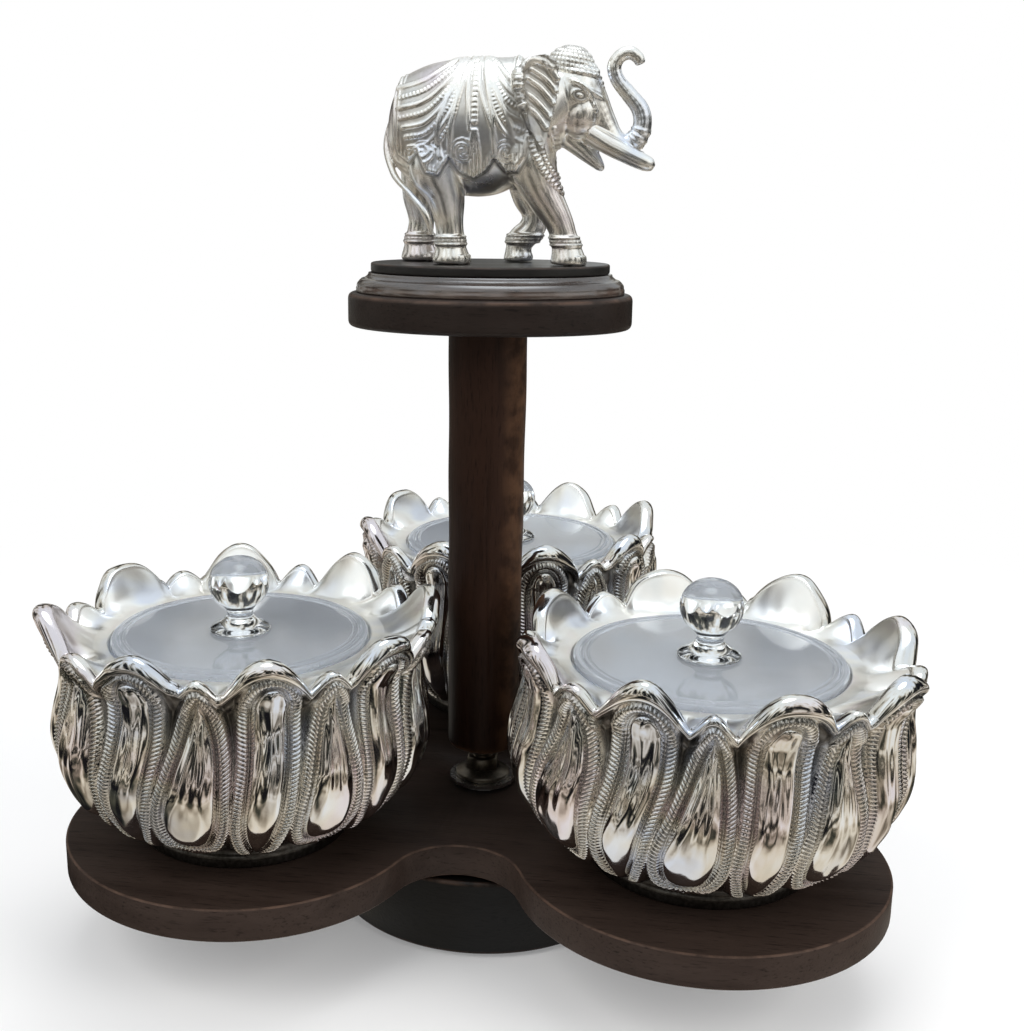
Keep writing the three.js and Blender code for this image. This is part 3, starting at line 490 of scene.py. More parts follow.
PETAL_PAIRS = 8
SECTOR = 2 * math.pi / PETAL_PAIRS
COLUMN_STEP = 2 * PETAL_PAIRS
WALL = [(36.4, 6.4), (55.4, 16.0), (66.0, 38.0), (63.0, 63.0), (65.2, 78.0)]
FOOT_RADIUS, FOOT_HEIGHT = 38.8, 4.0
VALLEY = (63.5, 73.0)
TALL_TIP = (68.3, 88.0)
SHORT_TIP = (66.2, 80.4)
TALL_HALF_TURN, SHORT_HALF_TURN = 14.8, 8.6
LIP_ROLL, TALL_ROLL = 2.0, 1.5
LIP_TUCK, TALL_TUCK = 1.0, 1.7
LIP_THICK, TALL_THICK = 2.6, 3.6
LIP_SHOULDER, SHOULDER_DROP = 3.2, 1.4
# Each casting was finished by hand: degrees that each tall petal leans, how much further out its tip
# reaches, and how far the rim has gone off the middle
CASTINGS = {
    "left": {"lean": (0, 0, -3, -3, 0, 8, 4, -3), "reach": (0.5, 0, 0, 0, 1.5, 0, 0, 1),
             "rim_off": (1.6, 0.0)},
    "right": {"lean": (0, 0, 2, 3, 6, 9, 1, -5), "reach": (-3, -1, 0, 0, -1, -1, 0.5, 1.5),
              "rim_off": (2.6, -1.8)},
    "back": {"lean": (0, 2, 0, -4, 0, 3, -2, -5), "reach": (-4, -3, -2.5, -3, -3, -2, -2, -4),
             "rim_off": (0.0, 0.0)},
}
# Lows and highs of what sets one petal apart: degrees of lean, size, and power of its curve
PETAL_RANGES = ((-2.0, 2.0), (0.86, 1.0), (0.62, 1.05))
TALL_BAND = [(2.6, 11), (5.6, 17), (8.2, 26), (9.0, 38), (9.0, 68), (8.3, 73), (6.2, 77), (3.2, 79.4),
             (0, 80.2)]
SHORT_BAND = [(0, 14.6), (4.6, 15.4), (8.6, 18.4), (11.4, 25), (12.3, 34), (11.0, 47), (8.2, 59),
              (4.6, 69), (0, 77.6)]
# How the bands and flutes are chased: the band between two ribs, how far in the middle goes on swelling,
# the groove beside a band, the slope of the gaps, and from crest to crest of the flutes
BAND_POINTS = 60
RIB_FLOOR, RIB_SHARPNESS = 0.46, 0.7
SWELL_REACH = 5.4
GROOVE_WIDTH = 0.75
GAP_SLOPE = 2.6
TALL_SLANT, SHORT_SLANT = 0.35, 0.5
TALL_FLUTE = 3.9
SHORT_FLUTE, SHORT_FLUTE_GROWTH = 1.6, 0.055
FLUTE_HEIGHTS = (24, 46, 72, 79)
LID_SEAT = (46.7, 71.0)
MOUTH_RADIUS = 43.7
INNER_WALL = [(MOUTH_RADIUS, 67), (54, 55), (58, 40), (49, 18), (34, 6)]
BOWL_FLOOR = [(17, 5.8), (4, 5.8)]
FROST = 0.85


def round_the_rim(values, theta):
    """Values given at the tall petals, passed smoothly from one petal to the next."""
    share = theta / SECTOR
    k = np.floor(share).astype(int)
    values = np.asarray(values, float)
    first, second = values[k % PETAL_PAIRS], values[(k + 1) % PETAL_PAIRS]
    return first + (second - first) * smooth(0, 1, share - k)


def petal_shares(theta, place):
    """How much of a tall and of a short tip the rim has at each angle. Each petal is a little its own."""
    own = np.random.default_rng(11 + PLACES.index(place))
    lean, size, power = (own.uniform(low, high, (2, PETAL_PAIRS)) for low, high in PETAL_RANGES)
    shares = []
    for kind, start, half in ((0, 0.0, TALL_HALF_TURN), (1, 0.5, SHORT_HALF_TURN)):
        k = np.round(theta / SECTOR - start).astype(int)
        petal = k % PETAL_PAIRS
        away = np.degrees(theta - (k + start) * SECTOR) - lean[kind][petal] * (1 - 0.4 * kind)
        fall = np.cos(np.clip(np.abs(away) / half, 0, 1) * math.pi / 2)
        shares.append(size[kind][petal] * fall ** (power[kind][petal] + 0.3 * kind))
    return shares


def band_relief(across, height, band, sizes, slant):
    """Relief of one ribbed band and of the smooth middle that it goes round: how far inside the band each
    point lies, the band, the middle's swelling, and how deep in a line the point is."""
    half = 0.5 * sizes.band_width / MM
    line = spline(band, BAND_POINTS)
    away, along = nearest_on_line(line, np.stack([across, height], -1))
    edge = np.interp(height, line[:, 1], line[:, 0])
    within = (across < edge) & (height > line[0, 1]) & (height < line[-1, 1])
    inward = np.where(within, away, -away)
    roll = np.sqrt(np.clip(1 - (away / half) ** 2, 0, 1))
    phase = (along + slant * inward) / (sizes.rib_pitch / MM)
    rib = (0.5 + 0.5 * np.cos(2 * math.pi * phase)) ** RIB_SHARPNESS
    bead = roll * (RIB_FLOOR + (1 - RIB_FLOOR) * rib)
    middle = np.clip((inward - 1.1 * half) / SWELL_REACH, 0, 1)
    bulge = 1 - (1 - middle) ** 2
    groove = hump(inward, 1.15 * half, GROOVE_WIDTH)
    # Dark between the ribs and in the groove beside a band: partly tarnish, partly painted shade.
    crease = np.maximum(roll * (1 - rib), 0.7 * groove)
    return inward, bead, bulge - 0.32 * groove, crease


def wall_relief(angle, radius, height, sizes):
    """Relief of the petals over the plain wall, and how deep in a line each point lies."""
    tall_across = angle * radius
    short_across = (SECTOR / 2 - angle) * radius
    tall_in, tall_bead, tall_bulge, tall_line = band_relief(
        tall_across, height, TALL_BAND, sizes, TALL_SLANT)
    short_in, short_bead, short_bulge, short_line = band_relief(
        short_across, height, SHORT_BAND, sizes, SHORT_SLANT)
    inward = np.maximum(tall_in, short_in)
    half = 0.5 * sizes.band_width / MM
    gap = smooth(0, GAP_SLOPE, np.clip(-inward - 0.8 * half, 0, None))
    wander = 0.5 * np.sin(height / 7.3) + 0.35 * np.sin(height / 3.1 + 1)
    short_width = SHORT_FLUTE + SHORT_FLUTE_GROWTH * (80 - height)
    tall_flute = np.cos(2 * math.pi * (tall_across + 0.6 * wander) / TALL_FLUTE)
    short_flute = np.cos(2 * math.pi * (short_across + wander) / short_width)
    flutes = (smooth(0.8, 2.0, inward - half) * plateau(height, *FLUTE_HEIGHTS)
              * np.where(tall_in > short_in, tall_flute, 0.6 * short_flute))
    relief = (sizes.band_height * np.maximum(tall_bead, short_bead) + sizes.flute_height * flutes
              + sizes.petal_bulge * (tall_bulge + 1.2 * short_bulge) - sizes.petal_gap * gap) / MM
    # The gaps between petals and the lines of the bands are darkened: partly tarnish, partly painted shade.
    crease = np.clip(0.8 * gap + 0.62 * np.maximum(tall_line, short_line), 0, 1)
    return relief, crease


def bowl_rings(sizes, place):
    """Rings from the foot up the outer wall, over the lip and down inside to the floor."""
    columns = sizes.bowl_columns // COLUMN_STEP * COLUMN_STEP
    theta = around(columns)
    angle = np.abs((theta + SECTOR / 2) % SECTOR - SECTOR / 2)
    casting = CASTINGS[place]
    tall, short = petal_shares(theta, place)
    reach, top = (v + tall * (t - v) + short * (s - v) for v, t, s in zip(VALLEY, TALL_TIP, SHORT_TIP))
    reach = reach + round_the_rim(casting["reach"], theta)
    top = top + 0.7 * np.sin(5 * theta + 1.1) * np.sin(13 * theta)
    thick, roll = LIP_THICK + TALL_THICK * tall, LIP_ROLL + TALL_ROLL * tall
    tuck = LIP_TUCK + TALL_TUCK * tall
    start_turn, lean = bowl_turn(place), np.radians(round_the_rim(casting["lean"], theta))
    rows, creases, frosts = [], [], []

    def ring(radius, height, crease=0.0, frost=0.0):
        radius, height = np.broadcast_to(radius, columns), np.broadcast_to(height, columns)
        turn = start_turn + theta + lean * smooth(6, 60, height)
        flare = smooth(54, 64, radius) * smooth(30, 84, height)
        rows.append(np.stack([radius * np.cos(turn) + casting["rim_off"][0] * flare,
                              radius * np.sin(turn) + casting["rim_off"][1] * flare, height], -1))
        creases.append(np.broadcast_to(crease, columns))
        frosts.append(np.full(columns, frost))

    foot = [(FOOT_RADIUS - 1.5, 0), (FOOT_RADIUS, 0), (FOOT_RADIUS, FOOT_HEIGHT), WALL[0]]
    # The foot is darkened all round: painted reflection of the dark tray under it, with some tarnish.
    for radius, height in rounded(foot, 1.0)[:-1]:
        ring(radius, height, 0.85)
    bottom = WALL[0][1]
    shares = np.linspace(0, 1, sizes.bowl_rows + 1)
    for share, (radius, height) in zip(shares, spline(WALL, len(shares))):
        up = height + smooth(0.74, 1, share) * (bottom + (top - thick - bottom) * share - height)
        out = radius + smooth(0.82, 1, share) ** 1.3 * (reach + roll - tuck - radius)
        relief, crease = wall_relief(angle, out, up, sizes)
        fade = plateau(share, 0.0, 0.14, 0.965, 1)
        # Darker just under the lip and low on the wall above the foot: painted shade, with some tarnish.
        ends = 0.35 * smooth(0.95, 1, share) + 0.8 * (1 - smooth(0.03, 0.1, share))
        ring(out + fade * relief, up, fade * crease + ends)
    for turn in quarter(7):
        ring(reach + roll - tuck * (1 - np.sin(turn)), top - thick + 0.8 * tuck * (1 - np.cos(turn)))
    for turn in quarter(12):
        ring(reach + roll * np.cos(turn), top - (thick - 0.8 * tuck) * (1 - np.sin(turn)))
    for turn in quarter(7):
        ring(reach - LIP_SHOULDER * np.sin(turn), top - SHOULDER_DROP * (1 - np.cos(turn)), 0, turn / 2)
    start, ledge = (reach - LIP_SHOULDER, top - SHOULDER_DROP), (LID_SEAT[0] + 5, LID_SEAT[1] + 2)
    for share in np.linspace(0, 1, 25)[1:]:
        sag = math.sin(math.pi * share) * (0.6 + 1.2 * tall)
        radius, height = (a + share * (b - a) for a, b in zip(start, ledge))
        ring(radius, height - sag, 0, FROST)
    seat = [ledge, (LID_SEAT[0] + 0.4, LID_SEAT[1] + 1.6), LID_SEAT, (MOUTH_RADIUS, LID_SEAT[1]),
            (MOUTH_RADIUS, LID_SEAT[1] - 4)]
    for radius, height in [*rounded(seat, 0.5, 3)[1:], *spline(INNER_WALL, 26)[1:], *BOWL_FLOOR]:
        ring(radius, height, 0, FROST)
    return np.array(rows), np.array(creases), np.array(frosts)


def bowl_mesh(sizes, place):
    """The skin of one bowl, with the slow waves of its casting and the crumple of its rim."""
    rings, creases, frosts = bowl_rings(sizes, place)
    corners, faces = rings_to_mesh(rings)
    wave = waviness(corners * (1, 1, 0.3), 4.5, 13) * (1 - 0.75 * smooth(72, 79, corners[:, 2]))
    wave = wave + 0.5 * waviness(corners, 9, 28)
    crumple = waviness(corners, 11, 26) * smooth(70, 82, corners[:, 2])
    reach = np.hypot(corners[:, 0], corners[:, 1])
    outward = corners * (1, 1, 0) / np.maximum(reach, 1)[:, None]
    wall = smooth(8, 14, corners[:, 2]) * smooth(50, 54, reach)
    corners = corners + outward * ((wave * sizes.casting_wave / MM + 0.45 * crumple) * wall)[:, None]
    corners[:, 2] += 0.35 * crumple * wall
    mesh = bpy.data.meshes.new(f"lotus_bowl_{place}")
    fill_mesh(mesh, corners, faces)
    # The hollow mark carries the darkening, partly tarnish and partly painted shade.
    for label, values in (("hollow", creases), ("frosted", frosts)):
        mark_corners(mesh, label, np.concatenate([values.ravel(), values[0, :1], values[-1, :1]]))
    return mesh


def bowl_turn(place):
    """Angle of a tall petal of a bowl, from the highest corners of its node."""
    _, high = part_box(f"bowl_{place}")
    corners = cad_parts[f"bowl_{place}"].data.vertices
    tip = next(v.co for v in corners if v.co.z > high.z - 0.1 * MM)
    middle = bowl_place(place)
    return math.atan2(tip.y - middle.y, tip.x - middle.x) % SECTOR


def bowl_place(place):
    """The middle of a bowl's underside, in metres, from its node."""
    low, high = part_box(f"bowl_{place}")
    return Vector(((low.x + high.x) / 2, (low.y + high.y) / 2, low.z))


# Elephant, in millimetres on its drawn height of 75, from the disc's top, nose towards +X

DRAWN_HEIGHT = 75.0
BARREL = [
    # x, height of the middle, half height, half width
    (-36.9, 45.0, 3.0, 2.6), (-36.0, 45.6, 8.5, 7.0), (-34.2, 46.4, 12.8, 10.6), (-31.0, 47.0, 16.5, 13.8),
    (-26.0, 47.1, 19.4, 15.8), (-18.0, 47.0, 22.1, 17.0), (-8.0, 46.7, 23.6, 17.4), (2.0, 47.0, 23.4, 17.2),
    (11.0, 49.0, 21.4, 16.2), (18.0, 51.0, 18.4, 14.2), (24.0, 54.0, 15.0, 12.0), (29.0, 56.5, 11.0, 9.0),
]
LEGS = [
    # x, y, height and radius, from the hip or shoulder down
    [(-19, -6, 46, 9), (-18.5, -7.5, 34, 10.2), (-15, -8, 24, 7.4), (-13.6, -8, 15, 5.5),
     (-13.2, -8, 10, 5.4), (-13, -8, 6, 5.9), (-12.8, -8, 2.4, 7.0), (-12.7, -8, 0.6, 7.0),
     (-12.7, -8, 0, 6.6)],
    [(-24, 6, 46, 9), (-25, 7.5, 34, 9.4), (-27, 8, 24, 6.6), (-26.2, 8, 15, 5.1), (-26.6, 8, 10, 5.2),
     (-27, 8, 6, 5.8), (-26.9, 8, 2.4, 6.9), (-26.9, 8, 0.6, 6.9), (-26.9, 8, 0, 6.5)],
    [(13, -6, 48, 8), (15, -8, 36, 9.2), (19.5, -8.5, 25, 7.0), (25.4, -8.5, 15, 5.3),
     (27.2, -8.5, 10, 5.0), (28.2, -8.5, 6, 5.5), (28.8, -8.5, 2.4, 6.5), (28.9, -8.5, 0.6, 6.5),
     (28.9, -8.5, 0, 6.1)],
    [(12, 6, 48, 8), (12, 8, 36, 8.4), (12.6, 8.5, 25, 6.4), (15.6, 8.5, 17.5, 5.3), (14.6, 8.5, 12, 5.2),
     (10.8, 8.5, 8, 5.3), (9.8, 8.5, 4.6, 5.0), (9.8, 8.5, 1.6, 5.7), (9.8, 8.5, 0, 5.4)],
]
TRUNK = [(30, 0, 61, 9.2), (35.4, 0, 53.5, 7.0), (39, 0, 48, 5.7), (42, 0, 43.6, 4.9), (46, 0, 41.0, 4.3),
         (50.3, 0, 42.2, 3.9), (52.9, 0, 47.3, 3.6), (52.0, 0, 53, 3.4), (48, 0, 58, 3.1),
         (43.9, 0, 62.9, 2.8), (42.6, 0, 67.4, 2.8), (44.8, 0, 70.9, 2.7), (48.2, 0, 71.7, 2.6),
         (50.7, 0, 69.9, 2.4), (51.7, 0, 67.6, 2.0)]
JAW = [(24, 0, 48, 6.5), (30, 0, 42.4, 4.6), (36, 0, 36.8, 3.2), (39.2, 0, 33.4, 1.9), (40.2, 0, 32.3, 0.9)]
TAIL = [(-34, 0, 52, 2.2), (-36.8, -3, 41, 1.8), (-33.6, -7, 31, 1.5), (-26.8, -11, 24, 1.4),
        (-21.4, -13.6, 18, 1.7), (-18.8, -13.4, 10, 1.1)]
TUSK = [(35, 4.4, 45.0, 3.7), (41, 5.2, 41.4, 3.7), (47.5, 5.6, 38.2, 3.5), (53.0, 5.6, 35.6, 3.3),
        (55.6, 5.6, 34.5, 2.9), (57.0, 5.6, 33.9, 2.2), (57.8, 5.6, 33.6, 1.2), (58.0, 5.6, 33.5, 0.3)]
EAR = [(0.5, 12.5), (-4, 15.2), (-9, 14.2), (-12.6, 9.5), (-13.2, 2.5), (-10.6, -4), (-8, -10),
       (-4.6, -15.5), (-2.6, -13), (-1, -6), (0.8, 1), (1.6, 7)]
CLOTH = [(-27, 90), (-33.2, 56), (-32.6, 44), (-31.2, 38), (-27.4, 35.2), (-24.0, 38.6), (-20.6, 31.8),
         (-16.2, 30.6), (-12.6, 36.4), (-9.2, 32.0), (-4.2, 29.6), (0.2, 32.0), (3.0, 36.0), (6.6, 31.6),
         (11.0, 31.8), (14.0, 36.6), (15.4, 44), (13.6, 56), (8, 90)]
# Share of the ear's outline, and depth, from the middle of one face over the rim to the other face
EAR_LAYERS = ((0.02, 1.5), (0.5, 1.3), (0.82, 0.7), (0.93, 0.1), (1.0, -0.4), (1.0, 1.4), (0.93, 2.0),
              (0.82, 2.4), (0.5, 3.0), (0.02, 3.2))
EAR_TURN = math.radians(24)
EAR_HINGE = (23, -13.2, 55.2)
# Raised cords on the sides, as (line, half width, length of a bead, or 0 for a plain cord)
CHEST_CORDS = [
    ([(14.6, 46), (17.4, 38), (21.5, 31), (27.6, 25.2)], 1.3, 1.7),
    ([(27.6, 25.2), (26.2, 32), (24.6, 40), (23.6, 46)], 1.2, 1.6),
    ([(18.6, 43), (21, 36), (25, 30)], 0.9, 1.4),
]
EAR_RIM = ([(10.6, 60), (12.0, 65.5), (15.6, 68.2), (20.6, 67.0), (23.6, 62.6)], 1.5, 0.0)
EAR_FOLDS = [
    ([(14.4, 62.5), (18.6, 59.6), (23.0, 54.6)], 1.15, 0.0),
    ([(12.8, 58.6), (17.0, 55.6), (22.0, 50.2)], 1.15, 0.0),
    ([(13.4, 54.0), (17.2, 51.2), (20.6, 46.6)], 1.15, 0.0),
    ([(15.6, 65.4), (20.0, 62.6), (23.6, 58.6)], 1.15, 0.0),
]
CLOTH_RISE, HEM_RISE, CORD_RISE = 0.85, 0.45, 0.6
SWIRL_RADIUS, SWIRL_PITCH = 4.2, 1.9
CROWN_MIDDLE, CROWN_ROW = 27.7, 1.55
ANKLET_RISE, NAIL_RISE = 0.75, 0.5
NAIL_REACH, NAIL_RADIUS = 6.9, 2.1
EYE, EYE_WIDTH = (31.6, 57.4), 1.45
# The skin lies this far inside, so that the relief ends at the drawn size
SKIN_INSET = 0.35
CASTING_WAVE = 0.05
BELLY_FROST = 0.3
SWIRLS = ((-21.6, 38.4), (-7.7, 39.2), (7.2, 38.6))
ANKLETS = ((9.6, 0.55, False), (8.3, 0.8, True), (7.0, 0.55, False))
ANKLET_GAPS = (7.65, 8.95)
TRUNK_RINGS = (31.0, 32.6, 35.0)
NAIL_BEARINGS = (-40, 0, 40)


def tube(path, sides, count):
    """A closed tube through (x, y, height, radius) stations."""
    stations = spline(path, count)
    points, radii = stations[:, :3], stations[:, 3]
    along = unit(np.gradient(points, axis=0))
    side = np.cross(along, (0, 1, 0))
    side[np.linalg.norm(side, axis=1) < 0.2] = (1, 0, 0)
    side = unit(side)
    up = np.cross(side, along)
    turn = around(sides)[:, None]
    rings = (points[:, None] + radii[:, None, None]
             * (side[:, None] * np.cos(turn) + up[:, None] * np.sin(turn)))
    return rings_to_mesh(rings)


def barrel():
    """The body from rump to neck, as upright ovals along X."""
    turn = around(72)
    rings = [np.stack([np.full(len(turn), x), wide * np.cos(turn), middle + high * np.sin(turn)], -1)
             for x, middle, high, wide in spline(BARREL, 70)]
    return rings_to_mesh(rings)


def ball(x, y, z, rx, ry, rz):
    """A ball drawn out along the three axes."""
    turn = around(32)
    levels = np.linspace(-math.pi / 2, math.pi / 2, 18)[1:-1]
    rings = [np.stack([x + rx * math.cos(v) * np.cos(turn), y + ry * math.cos(v) * np.sin(turn),
                       np.full(len(turn), z + rz * math.sin(v))], -1) for v in levels]
    return rings_to_mesh(rings)


def ear(side):
    """A cupped ear, hinged at the cheek and standing away from the neck."""
    outline = spline(EAR + EAR[:1], 72)[:-1]
    middle = outline.mean(0)
    placed = []
    for share, depth in EAR_LAYERS:
        x, z = (middle + (outline - middle) * share).T
        y = depth - 1.0
        placed.append(np.stack([EAR_HINGE[0] + x * math.cos(EAR_TURN) - y * math.sin(EAR_TURN),
                                EAR_HINGE[1] + x * math.sin(EAR_TURN) + y * math.cos(EAR_TURN),
                                EAR_HINGE[2] + z], -1))
    return rings_to_mesh(np.array(placed) * (1, -1 if side > 0 else 1, 1))


def tusk(side):
    return tube([(x, side * y, z, radius) for x, y, z, radius in TUSK], 24, 60)


def merged(parts, grain, name):
    """Fuse overlapping closed shells into one skin with faces of one size."""
    mesh = bpy.data.meshes.new(name)
    corners, faces = put_together(*parts)
    fill_mesh(mesh, corners, faces)
    holder = bpy.data.objects.new(name, mesh)
    bpy.context.scene.collection.objects.link(holder)
    remesh = holder.modifiers.new("skin", "REMESH")
    remesh.mode = "VOXEL"
    remesh.voxel_size = grain
    bpy.context.view_layer.update()
    skin = bpy.data.meshes.new_from_object(holder.evaluated_get(bpy.context.evaluated_depsgraph_get()))
    bpy.data.objects.remove(holder)
    return skin


def vectors_of(entries, label):
    """Three numbers for each entry of a mesh's data, as rows."""
    flat = np.zeros(len(entries) * 3, np.float32)
    entries.foreach_get(label, flat)
    return flat.reshape(-1, 3).astype(float)


def corners_of(mesh):
    return vectors_of(mesh.vertices, "co") / MM


def set_corners(mesh, corners):
    mesh.vertices.foreach_set("co", (corners * MM).astype(np.float32).ravel())
    mesh.update()


def relaxed(mesh, rounds):
    """Soften creases by moving corners towards their neighbours and a little further back, which keeps
    thin forms as thick as they are."""
    edges = np.zeros(len(mesh.edges) * 2, np.int32)
    mesh.edges.foreach_get("vertices", edges)
    a, b = edges.reshape(-1, 2).T
    corners = corners_of(mesh)
    count = np.bincount(a, minlength=len(corners)) + np.bincount(b, minlength=len(corners))
    for pull in (0.6, -0.62) * rounds:
        total = np.stack([np.bincount(a, corners[b, axis], len(corners))
                          + np.bincount(b, corners[a, axis], len(corners)) for axis in range(3)], -1)
        corners = corners + pull * (total / np.maximum(count, 1)[:, None] - corners)
    set_corners(mesh, corners)
    return mesh


def cord_relief(points, line, half, beads=0.0):
    """A raised cord along a line drawn on the side of the elephant, plain or beaded."""
    away, along = nearest_on_line(spline(line, 24), points)
    roll = np.sqrt(np.clip(1 - (away / half) ** 2, 0, 1))
    if beads:
        roll = roll * (0.45 + 0.55 * np.abs(np.sin(math.pi * along / beads)) ** 0.8)
    return roll


def highest(points, cords):
    """The highest of several cords at each point."""
    return np.maximum.reduce([cord_relief(points, *cord) for cord in cords])


def side_view(points):
    """Where points lie on a drawing of the elephant's side, as (x, height)."""
    return points[:, [0, 2]]


def inside_outline(points, outline):
    """Distance inside a closed outline, negative outside."""
    outline = np.asarray(outline + outline[:1], float)
    away, _ = nearest_on_line(outline, points)
    inside = np.zeros(len(points), bool)
    x, z = points.T
    for (x0, z0), (x1, z1) in zip(outline, outline[1:]):
        crosses = (z0 > z) != (z1 > z)
        rise = z1 - z0 if z1 != z0 else TINY
        inside ^= crosses & (x < (x1 - x0) * (z - z0) / rise + x0)
    return np.where(inside, away, -away)


def cloth_cords():
    """The saddle cloth's swags behind and before the strap, its straps, and the tassel of the pendant."""
    top_x, top_z = -4.3, 72
    cords = []
    for k in range(8):
        cords.append(([(top_x - 3 - 0.5 * k, top_z - 0.4 - 0.5 * k), (-12.6 + 0.3 * k, 68.6 - 2.4 * k),
                       (-21.5 + 0.4 * k, 62.6 - 3.4 * k), (-32.4 + 0.9 * k, 59.5 - 3.2 * k)],
                      0.95, 1.35 if k % 2 else 0.0))
    for k in range(6):
        cords.append(([(top_x + 3, top_z - 0.4 - 0.6 * k), (3.4 - 0.3 * k, 67.4 - 2.6 * k),
                       (8.6 - 0.4 * k, 62.0 - 3.4 * k), (14.4 - 0.3 * k, 58.4 - 3.3 * k)],
                      0.9, 0.0 if k % 2 else 1.35))
    for shift, foot in ((-2.6, -5.4), (2.6, 2.4)):
        cords.append(([(top_x + 0.5 * shift, 71), (top_x + 0.8 * shift, 60), (foot, 46)], 0.8, 0.0))
    cords.append(([(top_x, 71.6), (-3.9, 60), (-3.6, 48.6)], 1.25, 1.7))
    cords.append(([(-8, 69), (-13, 57), (-16.5, 46), (-15.6, 37)], 1.3, 0.0))
    cords.append(([(-6.6, 68), (-9.6, 57), (-11.8, 48), (-12.4, 37.4)], 1.2, 0.0))
    cords.append(([(1, 67), (4.4, 57), (8.4, 47), (10.8, 35)], 1.2, 0.0))
    cords.append(([(-0.4, 66), (1.6, 56), (2.6, 47), (3.4, 37)], 1.1, 0.0))
    for x in (-5.4, -4.2, -3.0, -1.8):
        cords.append(([(x * 0.4 - 2.2, 46), (x, 38), (x, 31)], 0.55, 0.0))
    return cords


def cloth_relief(points, body):
    """The saddle cloth with its hem, cords, swirls and tufts."""
    x, _, z = points.T
    inset = inside_outline(side_view(points), CLOTH)
    raised = highest(side_view(points), cloth_cords())
    for swirl_x, swirl_z in SWIRLS:
        radius, turn = np.hypot(x - swirl_x, z - swirl_z), np.arctan2(z - swirl_z, x - swirl_x)
        coil = 0.5 + 0.5 * np.cos(2 * math.pi * radius / SWIRL_PITCH - turn)
        raised = np.maximum(raised, (radius < SWIRL_RADIUS) * (0.35 + 0.65 * coil))
    tufts = np.abs(np.sin(x * math.pi / 1.3)) * smooth(3.4, 2.4, inset) * smooth(0.6, 1.2, inset)
    raised = np.maximum(raised, 0.75 * tufts)
    on_cloth = smooth(0.2, 1.4, inset) * body
    relief = (CLOTH_RISE * smooth(-0.35, 0.35, inset) + HEM_RISE * hump(inset, 1.0, 0.75)) * body
    # Darker between the cloth's cords and in a band just outside its hem: partly tarnish, partly painted
    # shade.
    hollow = on_cloth * (1 - raised) * 0.42 + 0.55 * hump(inset, -0.5, 0.7) * body
    return relief + CORD_RISE * raised * on_cloth, hollow


def chest_relief(points):
    """Beaded straps over the chest and down the front leg."""
    x, y, z = points.T
    chest = highest(side_view(points), CHEST_CORDS)
    front = smooth(13, 15, x) * plateau(z, 22, 24, 47, 49) * (np.abs(y) > 4) * (x < 30)
    # The second value darkens the straps between their beads: partly tarnish, partly painted shade.
    return 0.85 * chest * front, 0.5 * front * smooth(0.05, 0.5, chest) * (1 - chest)


def crown_relief(points):
    """Rows of beads over the crown, the fold of the brow and the plume on the forehead."""
    x, y, z = points.T
    level = z + 0.18 * (x - 28)
    crown = smooth(64.6, 65.6, level) * plateau(x, 18.5, 20, 37, 38.5)
    turn = np.arctan2(y, x - CROWN_MIDDLE)
    beads = np.abs(np.sin(turn * 14) * np.sin(level * math.pi / CROWN_ROW)) ** 0.7
    brow = hump(z + 0.5 * (x - 30), 61.5, 0.9) * plateau(x, 28, 30, 39, 41) * (z > 54)
    plume = (np.abs(y) < 2.6) * smooth(32, 34, x) * (z > 52) * (z < 64) * (x < 39.5)
    relief = crown * (0.4 + 0.42 * beads) + 0.5 * brow + 0.5 * plume * np.abs(np.sin(z * math.pi / 1.8))
    # The second value darkens the crown between its beads: partly tarnish, partly painted shade.
    return relief, crown * (1 - beads) * 0.5


def feet_relief(points):
    """Three anklets and three nails on each foot."""
    x, y, z = points.T
    relief, hollow = np.zeros(len(x)), np.zeros(len(x))
    for foot_x, foot_y, _, _ in (stations[-4] for stations in LEGS):
        near = (np.hypot(x - foot_x, y - foot_y) < 8.2) * (z < 16)
        knots = np.abs(np.sin(np.arctan2(y - foot_y, x - foot_x) * 9))
        for height, thick, beaded in ANKLETS:
            shape = 0.55 + 0.45 * knots if beaded else 1
            relief += ANKLET_RISE * hump(z, height, thick) * near * shape
        for bearing in np.radians(NAIL_BEARINGS):
            nail = np.hypot(x - foot_x - NAIL_REACH * math.cos(bearing),
                            y - foot_y - NAIL_REACH * math.sin(bearing))
            relief += NAIL_RISE * np.clip(1 - nail / NAIL_RADIUS, 0, 1) ** 0.5 * (z < 3.4) * near
        # The gaps between the anklets are darkened: partly tarnish, partly painted shade.
        for height in ANKLET_GAPS:
            hollow = np.maximum(hollow, near * 0.55 * hump(z, height, 0.4))
    return relief, hollow


def trunk_relief(points):
    """Rings round the trunk's root and a fine ripple along it."""
    x, y, _ = points.T
    away, along = nearest_on_line(spline(side_view(np.asarray(TRUNK)), 80), side_view(points))
    trunk = (np.abs(y) < 5.5) * (x > 36) * (away < 5)
    rings = sum(hump(along, at, 0.7) for at in TRUNK_RINGS)
    return trunk * (0.36 * rings + 0.016 * np.cos(along * 2 * math.pi / 2.2)), np.zeros(len(x))


def ear_relief(points):
    """The ear's rolled rim and the folds that run in from it."""
    x, y, z = points.T
    on_ear = (np.abs(y) > 12.6) * (x > 7) * (x < 28) * (z > 38)
    rim, folds = cord_relief(side_view(points), *EAR_RIM), highest(side_view(points), EAR_FOLDS)
    # The second value darkens the ear between its folds and rim: partly tarnish, partly painted shade.
    return on_ear * (1.15 * rim + 0.8 * folds), on_ear * 0.5 * (1 - np.maximum(folds, rim))


